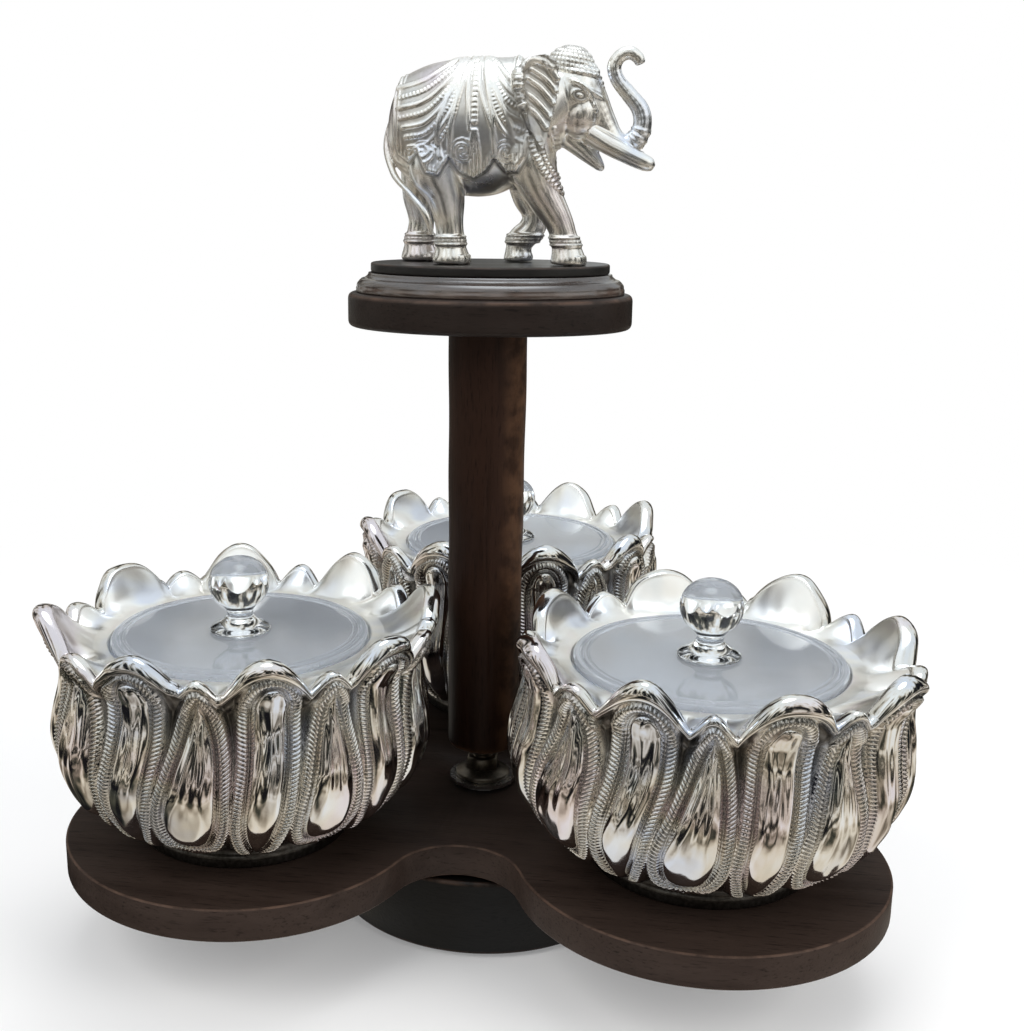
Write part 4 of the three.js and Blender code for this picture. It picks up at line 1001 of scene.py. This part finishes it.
def face_relief(points):
    """An oval eye with its lids, and four creases over the cheek."""
    x, y, z = points.T
    eye = np.hypot((x - EYE[0]) / EYE_WIDTH, z - EYE[1] + 0.2 * (x - EYE[0]))
    face = (np.abs(y) > 4.5) * (x > 26)
    relief = face * (0.5 * hump(eye, 0, 0.8) + 0.32 * hump(eye, 1.7, 0.4))
    # A dark ring round the eye and dark edges along the cheek creases: partly tarnish, partly painted
    # shade.
    hollow = face * 0.8 * hump(eye, 1.1, 0.35)
    for k in range(4):
        line = [(28.6 + 1.2 * k, 62.6 - 0.5 * k), (31.6 + 1.1 * k, 61.6 - 1.3 * k),
                (34.6 + 0.9 * k, 58.4 - 2.0 * k)]
        lift = cord_relief(side_view(points), line, 0.7) * face
        relief = relief + 0.35 * lift
        hollow = np.maximum(hollow, 0.3 * face * (lift > 0) * (1 - lift))
    return relief, hollow


def elephant_relief(corners, normals):
    """Height of the ornament on each corner of the elephant, and how deep in a line it lies."""
    x, y, z = corners.T
    flank = smooth(0.6, 3.0, np.abs(y)) * (normals[:, 2] > -0.75)
    body = flank * (1 - smooth(17, 19, x)) * smooth(27, 29, z)
    relief, hollow = cloth_relief(corners, body)
    for part in (chest_relief, crown_relief, feet_relief, trunk_relief, ear_relief, face_relief):
        lift, line = part(corners)
        relief, hollow = relief + lift, np.maximum(hollow, line)
    return relief, np.clip(hollow, 0, 1)


def elephant_skin(grain):
    """The bare elephant. Its trunk, legs and head are melted into the barrel before the thin parts join."""
    torso = [barrel(), *[tube(leg, 28, 50) for leg in LEGS], ball(29, 0, 58.5, 10.4, 10.2, 12.6),
             ball(27.4, 0, 67.6, 8.2, 7.8, 6.6), ball(31.6, -4.6, 51, 6.4, 5.4, 7.6),
             ball(31.6, 4.6, 51, 6.4, 5.4, 7.6), tube(TRUNK, 28, 120), tube(JAW, 24, 40)]
    soft = relaxed(merged(torso, 1.8 * grain, "elephant_body"), 14)
    faces = np.zeros(len(soft.polygons) * 4, np.int32)
    soft.polygons.foreach_get("vertices", faces)
    core = (corners_of(soft), [faces.reshape(-1, 4)])
    skin = merged([core, ear(-1), ear(1), tusk(-1), tusk(1), tube(TAIL, 18, 60)], grain, "elephant_skin")
    return relaxed(skin, 2)


# Boards and turned wood

LOBE_RADIUS, WAIST_RADIUS = 66.0, 56.0
TRAY_ARRIS, TRAY_FLAT_INSET = 0.9, 2.0
TRAY_RUBBED_ROWS = (3, 4, 9, 10, 11)
BUSH_FLANGE, BUSH_PLAY = 4.0, 0.3
OVAL_SIDES = 160
BOLT_RECESS, BOLT_RECESS_DEPTH = 10.0, 7.0
BOLT_BORE = 4.4
INSERT_BORE, INSERT_DEPTH = 7.2, 17.8
POST_TAPER, POST_FOOT_ROUND = 0.8, 3.0
CRACK_BEARING, CRACK_DEPTH, CRACK_WIDTH = math.radians(-74), 0.9, 0.35
# Bearing of the post's side that is painted paler, as painted light where the light falls.
PAINTED_LIGHT_SIDE = math.radians(-12)


def oval(half_length, half_width, inset, height):
    """An ellipse moved in from its edge by the same width all round."""
    turn = around(OVAL_SIDES)
    across = unit(np.stack([half_width * np.cos(turn), half_length * np.sin(turn)], -1))
    return np.stack([half_length * np.cos(turn) - inset * across[:, 0],
                     half_width * np.sin(turn) - inset * across[:, 1], np.full(len(turn), height)], -1)


def make_board(name, node, profile, finish, slot, rub):
    """An oval board the size of a node. Profile is (inset, height above the node's underside), and rub is
    how far, how high up and over what width an edge has rubbed."""
    low, high = box_mm(node)
    half_length, half_width = (high[0] - low[0]) / 2, (high[1] - low[1]) / 2
    corners, faces = rings_to_mesh([oval(half_length, half_width, inset, low[2] + height)
                                    for inset, height in profile])
    amount, at, spread = rub
    rubbed_and_lit = amount * hump(corners[:, 2] - low[2], at, spread)
    new_piece(name, corners, faces, finish, "stand", slot, (node,), rubbed_and_lit)


def arc(centre, radius, turn):
    """Flat points round a centre."""
    return centre + radius * np.stack([np.cos(turn), np.sin(turn)], -1)


def tray_outline(pitch, lobe, waist, step=math.radians(2.5)):
    """Three lobes, with a hollow arc tangent to each pair of them."""
    spread = math.pi / 3
    fillet = ((pitch**2 + waist**2 - 2 * pitch * waist * math.cos(spread) - lobe**2)
              / (2 * (lobe - waist + pitch * math.cos(spread))))
    points = []
    for k in range(3):
        centre = -5 * math.pi / 6 + 2 * math.pi * k / 3
        lobe_at = arc(0, pitch, centre)
        hollow_at = arc(0, waist + fillet, centre + spread)
        towards = math.atan2(*(hollow_at - lobe_at)[::-1])
        reach = (towards - centre + math.pi) % (2 * math.pi) - math.pi
        points.append(arc(lobe_at, lobe, np.arange(centre - reach, centre + reach, step)))
        start = towards + math.pi
        sweep = 2 * ((centre + spread + math.pi - start + math.pi) % (2 * math.pi) - math.pi)
        points.append(arc(hollow_at, fillet, start + np.arange(0, 1, 1 / 14) * sweep))
    return np.concatenate(points)


def inset_outline(points, inset):
    """A closed outline moved inwards by the same width all round."""
    along = unit(np.roll(points, -1, 0) - np.roll(points, 1, 0))
    return points + inset * np.stack([-along[:, 1], along[:, 0]], -1)


def sheet(outline, hole):
    """Triangles, seen from above, between a flat outline and a round hole in it."""
    edges = []
    for start, count in ((0, len(outline)), (len(outline), len(hole))):
        edges += [(start + k, start + (k + 1) % count) for k in range(count)]
    flat = [Vector(point) for point in np.concatenate([outline, hole])]
    made = delaunay_2d_cdt(flat, edges, [], 1, 1e-5)
    corners, own = made[2], made[3]
    triangles = np.array([[own[corner][0] for corner in face] for face in corners])
    return triangles[triangles.min(axis=1) < len(outline)]


def board_with_hole(rings, bore, bottom, top, columns=72):
    """Close rings that run from the underside to the top face with two sheets and a bore."""
    rings = np.asarray(rings, float)
    rows, count, _ = rings.shape
    turn = around(columns)
    corners = np.concatenate([rings.reshape(-1, 3), level_ring(bore, turn, top),
                              level_ring(bore, turn, bottom)])
    hole = level_ring(bore, turn, 0)[:, :2]
    upper = sheet(rings[-1, :, :2], hole)
    upper = np.where(upper < count, upper + (rows - 1) * count, upper - count + rows * count)
    lower = sheet(rings[0, :, :2], hole)
    lower = np.where(lower < count, lower, lower - count + rows * count + columns)[:, ::-1]
    bore_wall = wall_quads(2, columns)[0] + rows * count
    return corners, [wall_quads(rows, count)[:-1].reshape(-1, 4), upper, lower, bore_wall]


def hexagon_prism(across_flats, bottom, top, chamfer):
    turn = (np.arange(6) + 0.5) * math.pi / 3
    radius = across_flats / math.sqrt(3)
    rings = [(radius - chamfer, bottom), (radius, bottom + 0.6 * chamfer), (radius, top - 0.6 * chamfer),
             (radius - chamfer, top)]
    return rings_to_mesh([level_ring(reach, turn, height) for reach, height in rings])


def threaded_rod(radius, bottom, top, pitch, depth):
    turn = around(40)
    rings = []
    for height in np.arange(bottom, top, pitch / 6):
        phase = (height / pitch - turn / (2 * math.pi)) % 1
        rings.append(level_ring(radius - depth * np.abs(2 * phase - 1), turn, height))
    return rings_to_mesh(rings)


# Operators, one for each piece or group of like pieces


class STAND_OT_stage(bpy.types.Operator):
    """Set up the floor, the reflections, the lamps and the camera."""

    bl_idname = "stand.stage"
    bl_label = "Stage and camera"

    def execute(self, context):
        colours = context.scene.stand_colours
        make_floor(colours)
        make_world(colours)
        make_reflections()
        make_lamps()
        make_camera()
        return {"FINISHED"}


class STAND_OT_bowls(bpy.types.Operator):
    """Make the three lotus bowls, each cast and finished by itself."""

    bl_idname = "stand.bowls"
    bl_label = "Lotus bowls"

    def execute(self, context):
        finish = silver_finish(context.scene.stand_colours, "silver_bright", shine=0.05,
                               unevenness=0.3)
        for place in PLACES:
            mesh = bowl_mesh(context.scene.stand_sizes, place)
            piece = bpy.data.objects.new(f"lotus_bowl_{place}", mesh)
            piece.location = bowl_place(place)
            hang(piece, finish, f"{place}_bowl", (f"bowl_{place}",))
        return {"FINISHED"}


class STAND_OT_lids(bpy.types.Operator):
    """Make the clear lids with their knobs."""

    bl_idname = "stand.lids"
    bl_label = "Lids and knobs"

    def execute(self, context):
        plate = clear_finish("clear_lid", context.scene.stand_colours.lid, roughness=0.06, clearness=0.72)
        glass = clear_finish("clear_knob", (0.96, 0.97, 0.98), roughness=0.01, clearness=1.0)
        for place in PLACES:
            for kind, make, finish in (("lid", lid_plate, plate), ("knob", lid_knob, glass)):
                corners, faces = make(*box_mm(f"{kind}_{place}"))
                new_piece(f"clear_{kind}_{place}", corners, faces, finish, f"{place}_lid",
                          "clear_acrylic", (f"{kind}_{place}",))
        return {"FINISHED"}


def lid_plate(low, high):
    """A disc with a step below that sits in the mouth, and a fine groove near its edge."""
    middle, edge = (low + high) / 2, (high[0] - low[0]) / 2
    spigot, step, top = edge - 3.3, low[2] + 2, high[2]
    profile = [(0.3, low[2]), (spigot, low[2]), (spigot, step), (edge, step), (edge, top - 0.7),
               (edge - 0.7, top), (edge - 2.2, top), (edge - 2.9, top - 0.7), (edge - 3.6, top),
               (edge - 4.6, top), (edge - 5.1, top - 0.35), (edge - 5.6, top), (0.3, top)]
    corners, faces = turned(rounded(profile, 0.25, 3), 144)
    return corners + [middle[0], middle[1], 0], faces


def lid_knob(low, high):
    """A flared foot, a waisted neck and a slightly flattened ball, all in one piece."""
    middle, bottom, height = (low + high) / 2, low[2], high[2] - low[2]
    foot = (high[0] - low[0]) / 2
    shares = [(0.55, 0), (0.93, 0.1), (1, 0.9), (0.9, 1.9), (0.64, 3.4), (0.47, 5.4), (0.43, 7.6),
              (0.56, 9.6), (0.84, 12.6), (0.985, 16.6), (0.97, 20.0), (0.82, 23.6), (0.52, 26.3),
              (0.2, height - 0.12)]
    profile = spline([(0.2, 0), *[(foot * share, at) for share, at in shares], (0.02, height)], 90)
    corners, faces = turned(np.clip(profile, (0.02, 0), (foot, height)), 96)
    return corners + [middle[0], middle[1], bottom], faces


class STAND_OT_tray(bpy.types.Operator):
    """Make the trefoil tray."""

    bl_idname = "stand.tray"
    bl_label = "Tray"

    def execute(self, context):
        colours = context.scene.stand_colours
        finish = wood_finish("walnut_tray", colours.walnut, colours.walnut_dark, colours.bare_edge,
                             gloss=0.42, lacquer=0.08)
        low, high = box_mm("tray")
        bush_low, bush_high = box_mm("tray_bush")
        bore = (bush_high[0] - bush_low[0]) / 2 - BUSH_FLANGE + BUSH_PLAY
        outline = tray_outline(high[1] - LOBE_RADIUS, LOBE_RADIUS, WAIST_RADIUS)
        arris = [(TRAY_ARRIS * (1 - math.cos(t)), TRAY_ARRIS * (1 - math.sin(t)))
                 for t in np.linspace(0, math.pi / 2, 6)]
        edge = [(TRAY_FLAT_INSET, low[2])] + [(inset, low[2] + drop) for inset, drop in arris[::-1]]
        edge += [(inset, high[2] - drop) for inset, drop in arris]
        edge.append((TRAY_FLAT_INSET, high[2]))
        rings = [np.column_stack([inset_outline(outline, inset), np.full(len(outline), height)])
                 for inset, height in edge]
        corners, faces = board_with_hole(rings, bore, low[2], high[2])
        row = np.arange(len(corners)) // len(outline)
        rubbed_and_lit = np.isin(row, TRAY_RUBBED_ROWS) * 0.5
        new_piece("trefoil_tray", corners, faces, finish, "turntable", "walnut", ("tray",), rubbed_and_lit)
        return {"FINISHED"}


class STAND_OT_foot(bpy.types.Operator):
    """Make the round foot and its felt."""

    bl_idname = "stand.foot"
    bl_label = "Foot and felt"

    def execute(self, context):
        colours = context.scene.stand_colours
        finish = wood_finish("black_foot", colours.ebony, scaled(colours.ebony, 0.6),
                             scaled(colours.bare_edge, 0.35), gloss=0.3, lacquer=0.12)
        (_, _, bottom), (edge, _, top) = box_mm("foot_drum")
        recess_top = bottom + BOLT_RECESS_DEPTH
        profile = [(BOLT_RECESS, bottom), (edge, bottom), (edge, top), (BOLT_BORE, top),
                   (BOLT_BORE, recess_top), (BOLT_RECESS, recess_top), (BOLT_RECESS, bottom)]
        corners, faces = turned(rounded(profile, 1.6)[:-1], 144, closed_round=True)
        reach = np.hypot(corners[:, 0], corners[:, 1])
        arris = np.minimum(np.abs(corners[:, 2] - bottom), np.abs(corners[:, 2] - top))
        rubbed_and_lit = (reach > edge - 1.2) * (arris < 1.0) * (arris > 0.05) * 1.0
        new_piece("foot_turned", corners, faces, finish, "stand", "black_wood", ("foot_drum",), rubbed_and_lit)
        (_, _, bottom), (edge, _, top) = box_mm("felt_pad")
        profile = rounded([(0.5, bottom), (edge, bottom), (edge, top), (0.5, top)], 0.5)
        new_piece("felt_disc", *turned(profile, 120), felt_finish(), "stand", "felt", ("felt_pad",))
        return {"FINISHED"}


class STAND_OT_post(bpy.types.Operator):
    """Make the turned post, with its fine drying crack and one side painted paler as painted light."""

    bl_idname = "stand.post"
    bl_label = "Post"

    def execute(self, context):
        colours = context.scene.stand_colours
        # Paler wood for the post's rubbed foot and for its side painted paler as painted light.
        bare_and_lit = tuple(share * c for share, c in zip((0.62, 0.50, 0.36), colours.bare_edge))
        finish = wood_finish("post_wood", colours.post, scaled(colours.post, 0.45), bare_and_lit, gloss=0.36,
                             lacquer=0.07, along=(0, 0, 1), size=0.0028)
        (_, _, bottom), (widest, _, top) = box_mm("post")
        narrowest, length = widest - POST_TAPER, top - bottom
        foot = [(narrowest - POST_FOOT_ROUND * (1 - math.sin(t)),
                 bottom + POST_FOOT_ROUND * (1 - math.cos(t))) for t in np.linspace(0, math.pi / 2, 8)]
        stem = [(narrowest + POST_TAPER * s, bottom + POST_FOOT_ROUND + (length - POST_FOOT_ROUND) * s)
                for s in np.linspace(0, 1, 220)[1:]]
        profile = [(INSERT_BORE, bottom + INSERT_DEPTH), (INSERT_BORE, bottom)] + foot + stem + [(3, top)]
        turn = around(160)
        rings = []
        for radius, height in profile:
            share = (height - bottom) / length
            if radius > 9:
                crack_at = CRACK_BEARING - 0.16 * share + 0.05 * math.sin(9 * share)
                away = np.abs((turn - crack_at + math.pi) % (2 * math.pi) - math.pi) * radius
                crack = plateau(share, 0.12, 0.3, 0.62, 0.72) * hump(away, 0, CRACK_WIDTH)
                waves = np.sin(share * 23 + np.cos(turn)) * smooth(0.05, 0.1, share)
                radius = radius - CRACK_DEPTH * crack + 0.12 * waves - 0.12
            rings.append(level_ring(radius, turn, height))
        corners, faces = rings_to_mesh(rings)
        outside = np.hypot(corners[:, 0], corners[:, 1]) > 10
        bearing = np.arctan2(corners[:, 1], corners[:, 0])
        # Paler at the rounded foot, which is rubbed wear, and on one side, which is painted light where the
        # light falls.
        rubbed_and_lit = (hump(corners[:, 2] - bottom, 1.0, 1.2) * outside
                  + 0.75 * smooth(0.55, 1.0, np.cos(bearing - PAINTED_LIGHT_SIDE)))
        new_piece("post_turned", corners, faces, finish, "stand", "post_wood", ("post",),
                  np.clip(rubbed_and_lit, 0, 1))
        return {"FINISHED"}


class STAND_OT_plinth(bpy.types.Operator):
    """Make the slab, the moulding and the disc under the elephant."""

    bl_idname = "stand.plinth"
    bl_label = "Plinth"

    def execute(self, context):
        colours = context.scene.stand_colours
        grain, bare_and_lit = scaled(colours.walnut_dark, 0.5), colours.bare_edge
        matt = wood_finish("walnut_slab", scaled(colours.walnut, 0.42), grain, bare_and_lit, gloss=0.3,
                           lacquer=0.15)
        shiny = wood_finish("walnut_moulding", scaled(colours.walnut, 1.2), grain, bare_and_lit, gloss=0.3,
                            lacquer=0.2, coat=(1.0, 1.9, 0.16))
        black = wood_finish("black_disc", scaled(colours.ebony, 1.6), colours.ebony, scaled(bare_and_lit, 0.5),
                            gloss=0.26, lacquer=0.3)
        slab = rounded([(8, 0), (0, 0), (0, 12.5), (8, 12.5)], 2.5, 7)
        make_board("slab_oval", "plinth_slab", slab, matt, "walnut", (0.55, 11.6, 0.5))
        low, high = box_mm("plinth_moulding")
        tall = high[2] - low[2]
        ogee = [(8, 0), (0.1, 0), (0, 0.2), (0, 1.5), (0.25, 1.9), (0.3, 2.6), (0.42, 3.05), (0.75, 3.55),
                (1.2, 4.08), (1.65, 4.5), (2.05, 4.8)]
        ogee += [(2.05 + 2.35 * s, 4.8 + 1.35 * (1 - math.cos(s * math.pi / 2)))
                 for s in np.linspace(0, 1, 6)[1:]]
        ogee += [(4.6, tall - 0.1), (5.0, tall), (9, tall)]
        make_board("moulding_ogee", "plinth_moulding", ogee, shiny, "walnut", (0.5, 1.7, 0.3))
        disc = rounded([(6, 0), (0, 0), (0, 3.5), (6, 3.5)], 0.9, 5)
        make_board("disc_oval", "plinth_disc", disc, black, "black_wood", (0.7, 3.2, 0.25))
        return {"FINISHED"}


class STAND_OT_hardware(bpy.types.Operator):
    """Make the spindle with its nut, and finish the hardware that stays from the frame."""

    bl_idname = "stand.hardware"
    bl_label = "Spindle and hardware"

    def execute(self, context):
        dark = metal_finish("dark_steel", (0.19, 0.165, 0.13), (0.07, 0.06, 0.05), 0.3)
        steel = metal_finish("bright_steel", (0.62, 0.61, 0.59), (0.40, 0.38, 0.36), 0.18)
        brass = metal_finish("brass_insert", (0.72, 0.50, 0.22), (0.48, 0.32, 0.14), 0.25)
        nylon = nylon_finish()
        (_, _, bottom), (_, _, top) = box_mm("spindle_bolt")
        parts = put_together(hexagon_prism(13, bottom, bottom + 5.3, 0.7),
                             threaded_rod(4.0, bottom + 2, top, 1.25, 0.5))
        new_piece("spindle_threaded", *parts, dark, "stand", "dark_steel", ("spindle_bolt",))
        (_, _, bottom), (edge, _, top) = box_mm("flange_nut")
        flange = rounded([(4.3, bottom), (edge, bottom), (edge, bottom + 1.6), (6.8, bottom + 3.2),
                          (4.3, bottom + 3.2)], 0.5)
        parts = put_together(turned(flange, 72), hexagon_prism(11.4, bottom + 1.2, top, 0.8))
        new_piece("nut_flanged", *parts, dark, "stand", "dark_steel", ("flange_nut",))
        finishes = {"post_insert": brass, "plinth_screw": steel, "elephant_screw_1": steel,
                    "elephant_screw_2": steel, "steel_washer": steel, "thrust_washer": nylon,
                    "tray_bush": nylon}
        for node, finish in finishes.items():
            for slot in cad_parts[node].material_slots:
                slot.material = finish
        return {"FINISHED"}


class STAND_OT_elephant(bpy.types.Operator):
    """Model the plated elephant and chase its ornament."""

    bl_idname = "stand.elephant"
    bl_label = "Elephant"

    def execute(self, context):
        grain = context.scene.stand_sizes.elephant_grain * 1
        mesh = elephant_skin(grain)
        corners, normals = corners_of(mesh), vectors_of(mesh.vertex_normals, "vector")
        relief, hollow = elephant_relief(corners, normals)
        wave = waviness(corners, 5, 16) * CASTING_WAVE
        low, high = box_mm("elephant")
        height = high[2] - low[2]
        corners = corners + normals * (relief - SKIN_INSET + wave)[:, None]
        corners = corners * (height / DRAWN_HEIGHT)
        corners[:, 2] = np.clip(corners[:, 2], 0, height)
        set_corners(mesh, corners)
        smooth_faces(mesh)
        # The hollow mark darkens the ornament's lines: partly tarnish, partly painted shade.
        mark_corners(mesh, "hollow", hollow)
        mark_corners(mesh, "frosted", BELLY_FROST * np.clip(-normals[:, 2], 0, 1) ** 0.5)
        mesh.materials.clear()
        piece = bpy.data.objects.new("elephant_plated", mesh)
        piece.location.z = low[2] * MM
        finish = silver_finish(context.scene.stand_colours, "silver_chased", shine=0.18, unevenness=0.08,
                               pale=1.13)
        hang(piece, finish, "stand", ("elephant",))
        return {"FINISHED"}


# Stage

FLOOR_REACH, FLOOR_DROP = 3000.0, 0.0002
# Reach and height of the rings of cards, in millimetres
CARD_RINGS = ((60, 1), (500, 1.5), (1100, 2), (1150, 150), (1150, 450), (1100, 850), (900, 1250),
              (500, 1500), (20, 1600))
CARDS_HEIGHT = 1.6
# Name, place, width, power in watts and colour
LAMPS = (
    ("key_softbox", (-0.75, -1.0, 1.25), 0.9, 10.5, (1.0, 0.985, 0.96)),
    ("fill_softbox", (1.15, -0.6, 0.8), 0.8, 10.5, (1.0, 0.98, 0.95)),
    ("top_softbox", (0.1, 0.5, 1.5), 1.1, 10.0, (1.0, 1.0, 1.0)),
)
LAMPS_AIM = Vector((0, 0, 0.12))
CAMERA = {"azimuth": 6.62, "distance": 506.15, "height": 281.9, "yaw": -2.83, "pitch": 14.31,
          "roll": 0.04, "focal": 1374.6, "centre": (420.0, 515.5)}
IMAGE = (1024, 1031)
SENSOR = 36.0


def seen_directly(tree):
    """A socket that is 1 where the camera, a mirror or a clear piece sees a surface."""
    rays = tree.nodes.new("ShaderNodeLightPath")
    seen = rays.outputs["Is Camera Ray"]
    for kind in ("Is Glossy Ray", "Is Transmission Ray"):
        either = tree.nodes.new("ShaderNodeMath")
        either.operation = "MAXIMUM"
        tree.links.new(seen, either.inputs[0])
        tree.links.new(rays.outputs[kind], either.inputs[1])
        seen = either.outputs[0]
    return seen


def show_mixed(tree, share, first, second, target):
    """Mix two shaders and show them as the surface."""
    mix = tree.nodes.new("ShaderNodeMixShader")
    for socket, source in zip(mix.inputs, (share, first.outputs[0], second.outputs[0])):
        tree.links.new(source, socket)
    tree.links.new(mix.outputs[0], tree.nodes[target].inputs["Surface"])


def make_floor(colours):
    """A paper floor that goes over into plain light away from the stand."""
    corners = [(x * FLOOR_REACH, y * FLOOR_REACH, 0) for x, y in ((-1, -1), (1, -1), (1, 1), (-1, 1))]
    mesh = bpy.data.meshes.new("floor")
    fill_mesh(mesh, corners, [np.array([[0, 1, 2, 3]])])
    floor = bpy.data.objects.new("floor", mesh)
    floor.location.z = -FLOOR_DROP
    bpy.context.scene.collection.objects.link(floor)
    finish = Finish("floor_paper")
    finish.tree.nodes.remove(finish.shader)
    paper = finish.feed(finish.add("ShaderNodeBsdfDiffuse"), Color=(*scaled(colours.backdrop, 0.93), 1))
    shine = finish.feed(finish.add("ShaderNodeEmission"), Color=(*colours.backdrop, 1))
    away = finish.feed(finish.add("ShaderNodeVectorMath", operation="LENGTH"), Vector=finish.place)
    away = finish.ramp(away.outputs["Value"], (0.22, 0.22), (0.60, 1.0))
    share = finish.sums("MULTIPLY", seen_directly(finish.tree), away)
    show_mixed(finish.tree, share, paper, shine, "Material Output")
    mesh.materials.append(finish.material)


def make_world(colours):
    """White where it is seen, and plain soft light on the object."""
    world = bpy.data.worlds.new("studio")
    bpy.context.scene.world = world
    world.use_nodes = True
    tree = world.node_tree
    white = tree.nodes["Background"]
    white.inputs["Color"].default_value = (*colours.backdrop, 1)
    soft = tree.nodes.new("ShaderNodeBackground")
    soft.inputs["Color"].default_value = (0.93, 0.96, 1.0, 1)
    soft.inputs["Strength"].default_value = 0.55
    show_mixed(tree, seen_directly(tree), soft, white, "World Output")


def make_reflections():
    """A ring of dark and pale cards that only the mirror surfaces see, facing inwards."""
    turn = around(96)
    rings = [level_ring(reach, turn, height) for reach, height in CARD_RINGS]
    quads = wall_quads(len(rings), len(turn))[:-1].reshape(-1, 4)[:, [0, 3, 2, 1]]
    mesh = bpy.data.meshes.new("reflection_cards")
    fill_mesh(mesh, np.concatenate(rings), [quads])
    cards = bpy.data.objects.new("reflection_cards", mesh)
    bpy.context.scene.collection.objects.link(cards)
    cards.visible_camera = cards.visible_diffuse = cards.visible_shadow = False
    finish = Finish("reflection_cards")
    finish.tree.nodes.remove(finish.shader)
    patches = finish.noise(0.24, detail=3, place=finish.stretched((1.0, 1.0, 0.35)))
    place = finish.feed(finish.add("ShaderNodeSeparateXYZ"), Vector=finish.place)
    height = place.outputs["Z"]
    share = finish.sums("MULTIPLY", height, 1 / CARDS_HEIGHT)
    lift = finish.ramp(share, (0.0, 0.05), (0.02, 0.01), (0.12, 0.01), (0.26, 0.0), (0.39, 0.08),
                       (0.53, 0.17), (0.90, 0.30))
    tone = finish.ramp(finish.sums("ADD", patches, lift), (0.46, (0.010, 0.010, 0.012)),
                       (0.51, (0.06, 0.062, 0.05)), (0.55, (0.30, 0.265, 0.22)),
                       (0.61, (0.72, 0.69, 0.63)), (0.70, (0.84, 0.88, 0.93)))
    warmth = finish.ramp(share, (0.0, (1.0, 0.955, 0.89)), (0.02, (1.0, 0.98, 0.95)),
                         (0.08, (0.97, 1.0, 1.0)))
    tone = finish.blend(1.0, tone, warmth, "MULTIPLY")
    skylight = finish.feed(finish.add("ShaderNodeMapRange"), Value=height, From_Min=1.50, From_Max=1.56,
                           To_Min=1.0, To_Max=4.8)
    shine = finish.feed(finish.add("ShaderNodeEmission"), Color=tone, Strength=skylight.outputs["Result"])
    finish.tree.links.new(shine.outputs[0], finish.tree.nodes["Material Output"].inputs["Surface"])
    mesh.materials.append(finish.material)


def make_lamps():
    """Three square softboxes that look at the bowls."""
    for name, place, size, power, colour in LAMPS:
        lamp = bpy.data.lights.new(name, "AREA")
        lamp.shape, lamp.size, lamp.energy, lamp.color = "SQUARE", size, power, colour
        holder = bpy.data.objects.new(name, lamp)
        holder.location = place
        holder.rotation_euler = (LAMPS_AIM - Vector(place)).to_track_quat("-Z", "Y").to_euler()
        bpy.context.scene.collection.objects.link(holder)


def make_camera():
    """The photograph's place and direction. Angles are in degrees and the centre in its pixels."""
    azimuth, yaw, pitch, roll = (math.radians(CAMERA[k]) for k in ("azimuth", "yaw", "pitch", "roll"))
    place = Vector((math.sin(azimuth) * CAMERA["distance"], -math.cos(azimuth) * CAMERA["distance"],
                    CAMERA["height"])) * MM
    heading = math.atan2(math.cos(azimuth), -math.sin(azimuth)) - yaw
    forward = Vector((math.cos(heading) * math.cos(pitch), math.sin(heading) * math.cos(pitch),
                      -math.sin(pitch)))
    right = forward.cross(Vector((0, 0, 1))).normalized()
    up = right.cross(forward)
    rolled_right = right * math.cos(roll) + up * math.sin(roll)
    rolled_up = up * math.cos(roll) - right * math.sin(roll)
    camera = bpy.data.cameras.new("camera")
    camera.sensor_width = SENSOR
    camera.lens = CAMERA["focal"] * SENSOR / max(IMAGE)
    camera.shift_x = (IMAGE[0] / 2 - CAMERA["centre"][0]) / max(IMAGE)
    camera.shift_y = (CAMERA["centre"][1] - IMAGE[1] / 2) / max(IMAGE)
    camera.clip_start, camera.clip_end = 0.01, 20
    holder = bpy.data.objects.new("camera", camera)
    axes = Matrix((rolled_right, rolled_up, -forward)).transposed()
    holder.matrix_world = Matrix.Translation(place) @ axes.to_4x4()
    bpy.context.scene.collection.objects.link(holder)
    bpy.context.scene.camera = holder
    bpy.context.scene.view_settings.view_transform = "Standard"


class STAND_PT_sidebar(bpy.types.Panel):
    """Lists the stand's pieces, sizes and colours."""

    bl_label = "Revolving mukhwas stand"
    bl_idname = "STAND_PT_sidebar"
    bl_space_type = "VIEW_3D"
    bl_region_type = "UI"
    bl_category = "Stand"

    def draw(self, context):
        for piece in PIECES:
            self.layout.operator(piece.bl_idname)
        for group in (context.scene.stand_sizes, context.scene.stand_colours):
            for name in type(group).__annotations__:
                self.layout.prop(group, name)


PIECES = (STAND_OT_stage, STAND_OT_bowls, STAND_OT_lids, STAND_OT_tray, STAND_OT_foot, STAND_OT_post,
          STAND_OT_plinth, STAND_OT_hardware, STAND_OT_elephant)
CLASSES = (StandSizes, StandColours, *PIECES, STAND_PT_sidebar)


def register():
    for cls in CLASSES:
        bpy.utils.register_class(cls)
    bpy.types.Scene.stand_sizes = PointerProperty(type=StandSizes)
    bpy.types.Scene.stand_colours = PointerProperty(type=StandColours)


def unregister():
    del bpy.types.Scene.stand_colours
    del bpy.types.Scene.stand_sizes
    for cls in reversed(CLASSES):
        bpy.utils.unregister_class(cls)


def main():
    register()
    bpy.ops.stand.stage()
    bpy.ops.stand.bowls()
    bpy.ops.stand.lids()
    bpy.ops.stand.tray()
    bpy.ops.stand.foot()
    bpy.ops.stand.post()
    bpy.ops.stand.plinth()
    bpy.ops.stand.hardware()
    bpy.ops.stand.elephant()
    bpy.context.view_layer.update()


if __name__ == "__main__":
    main()
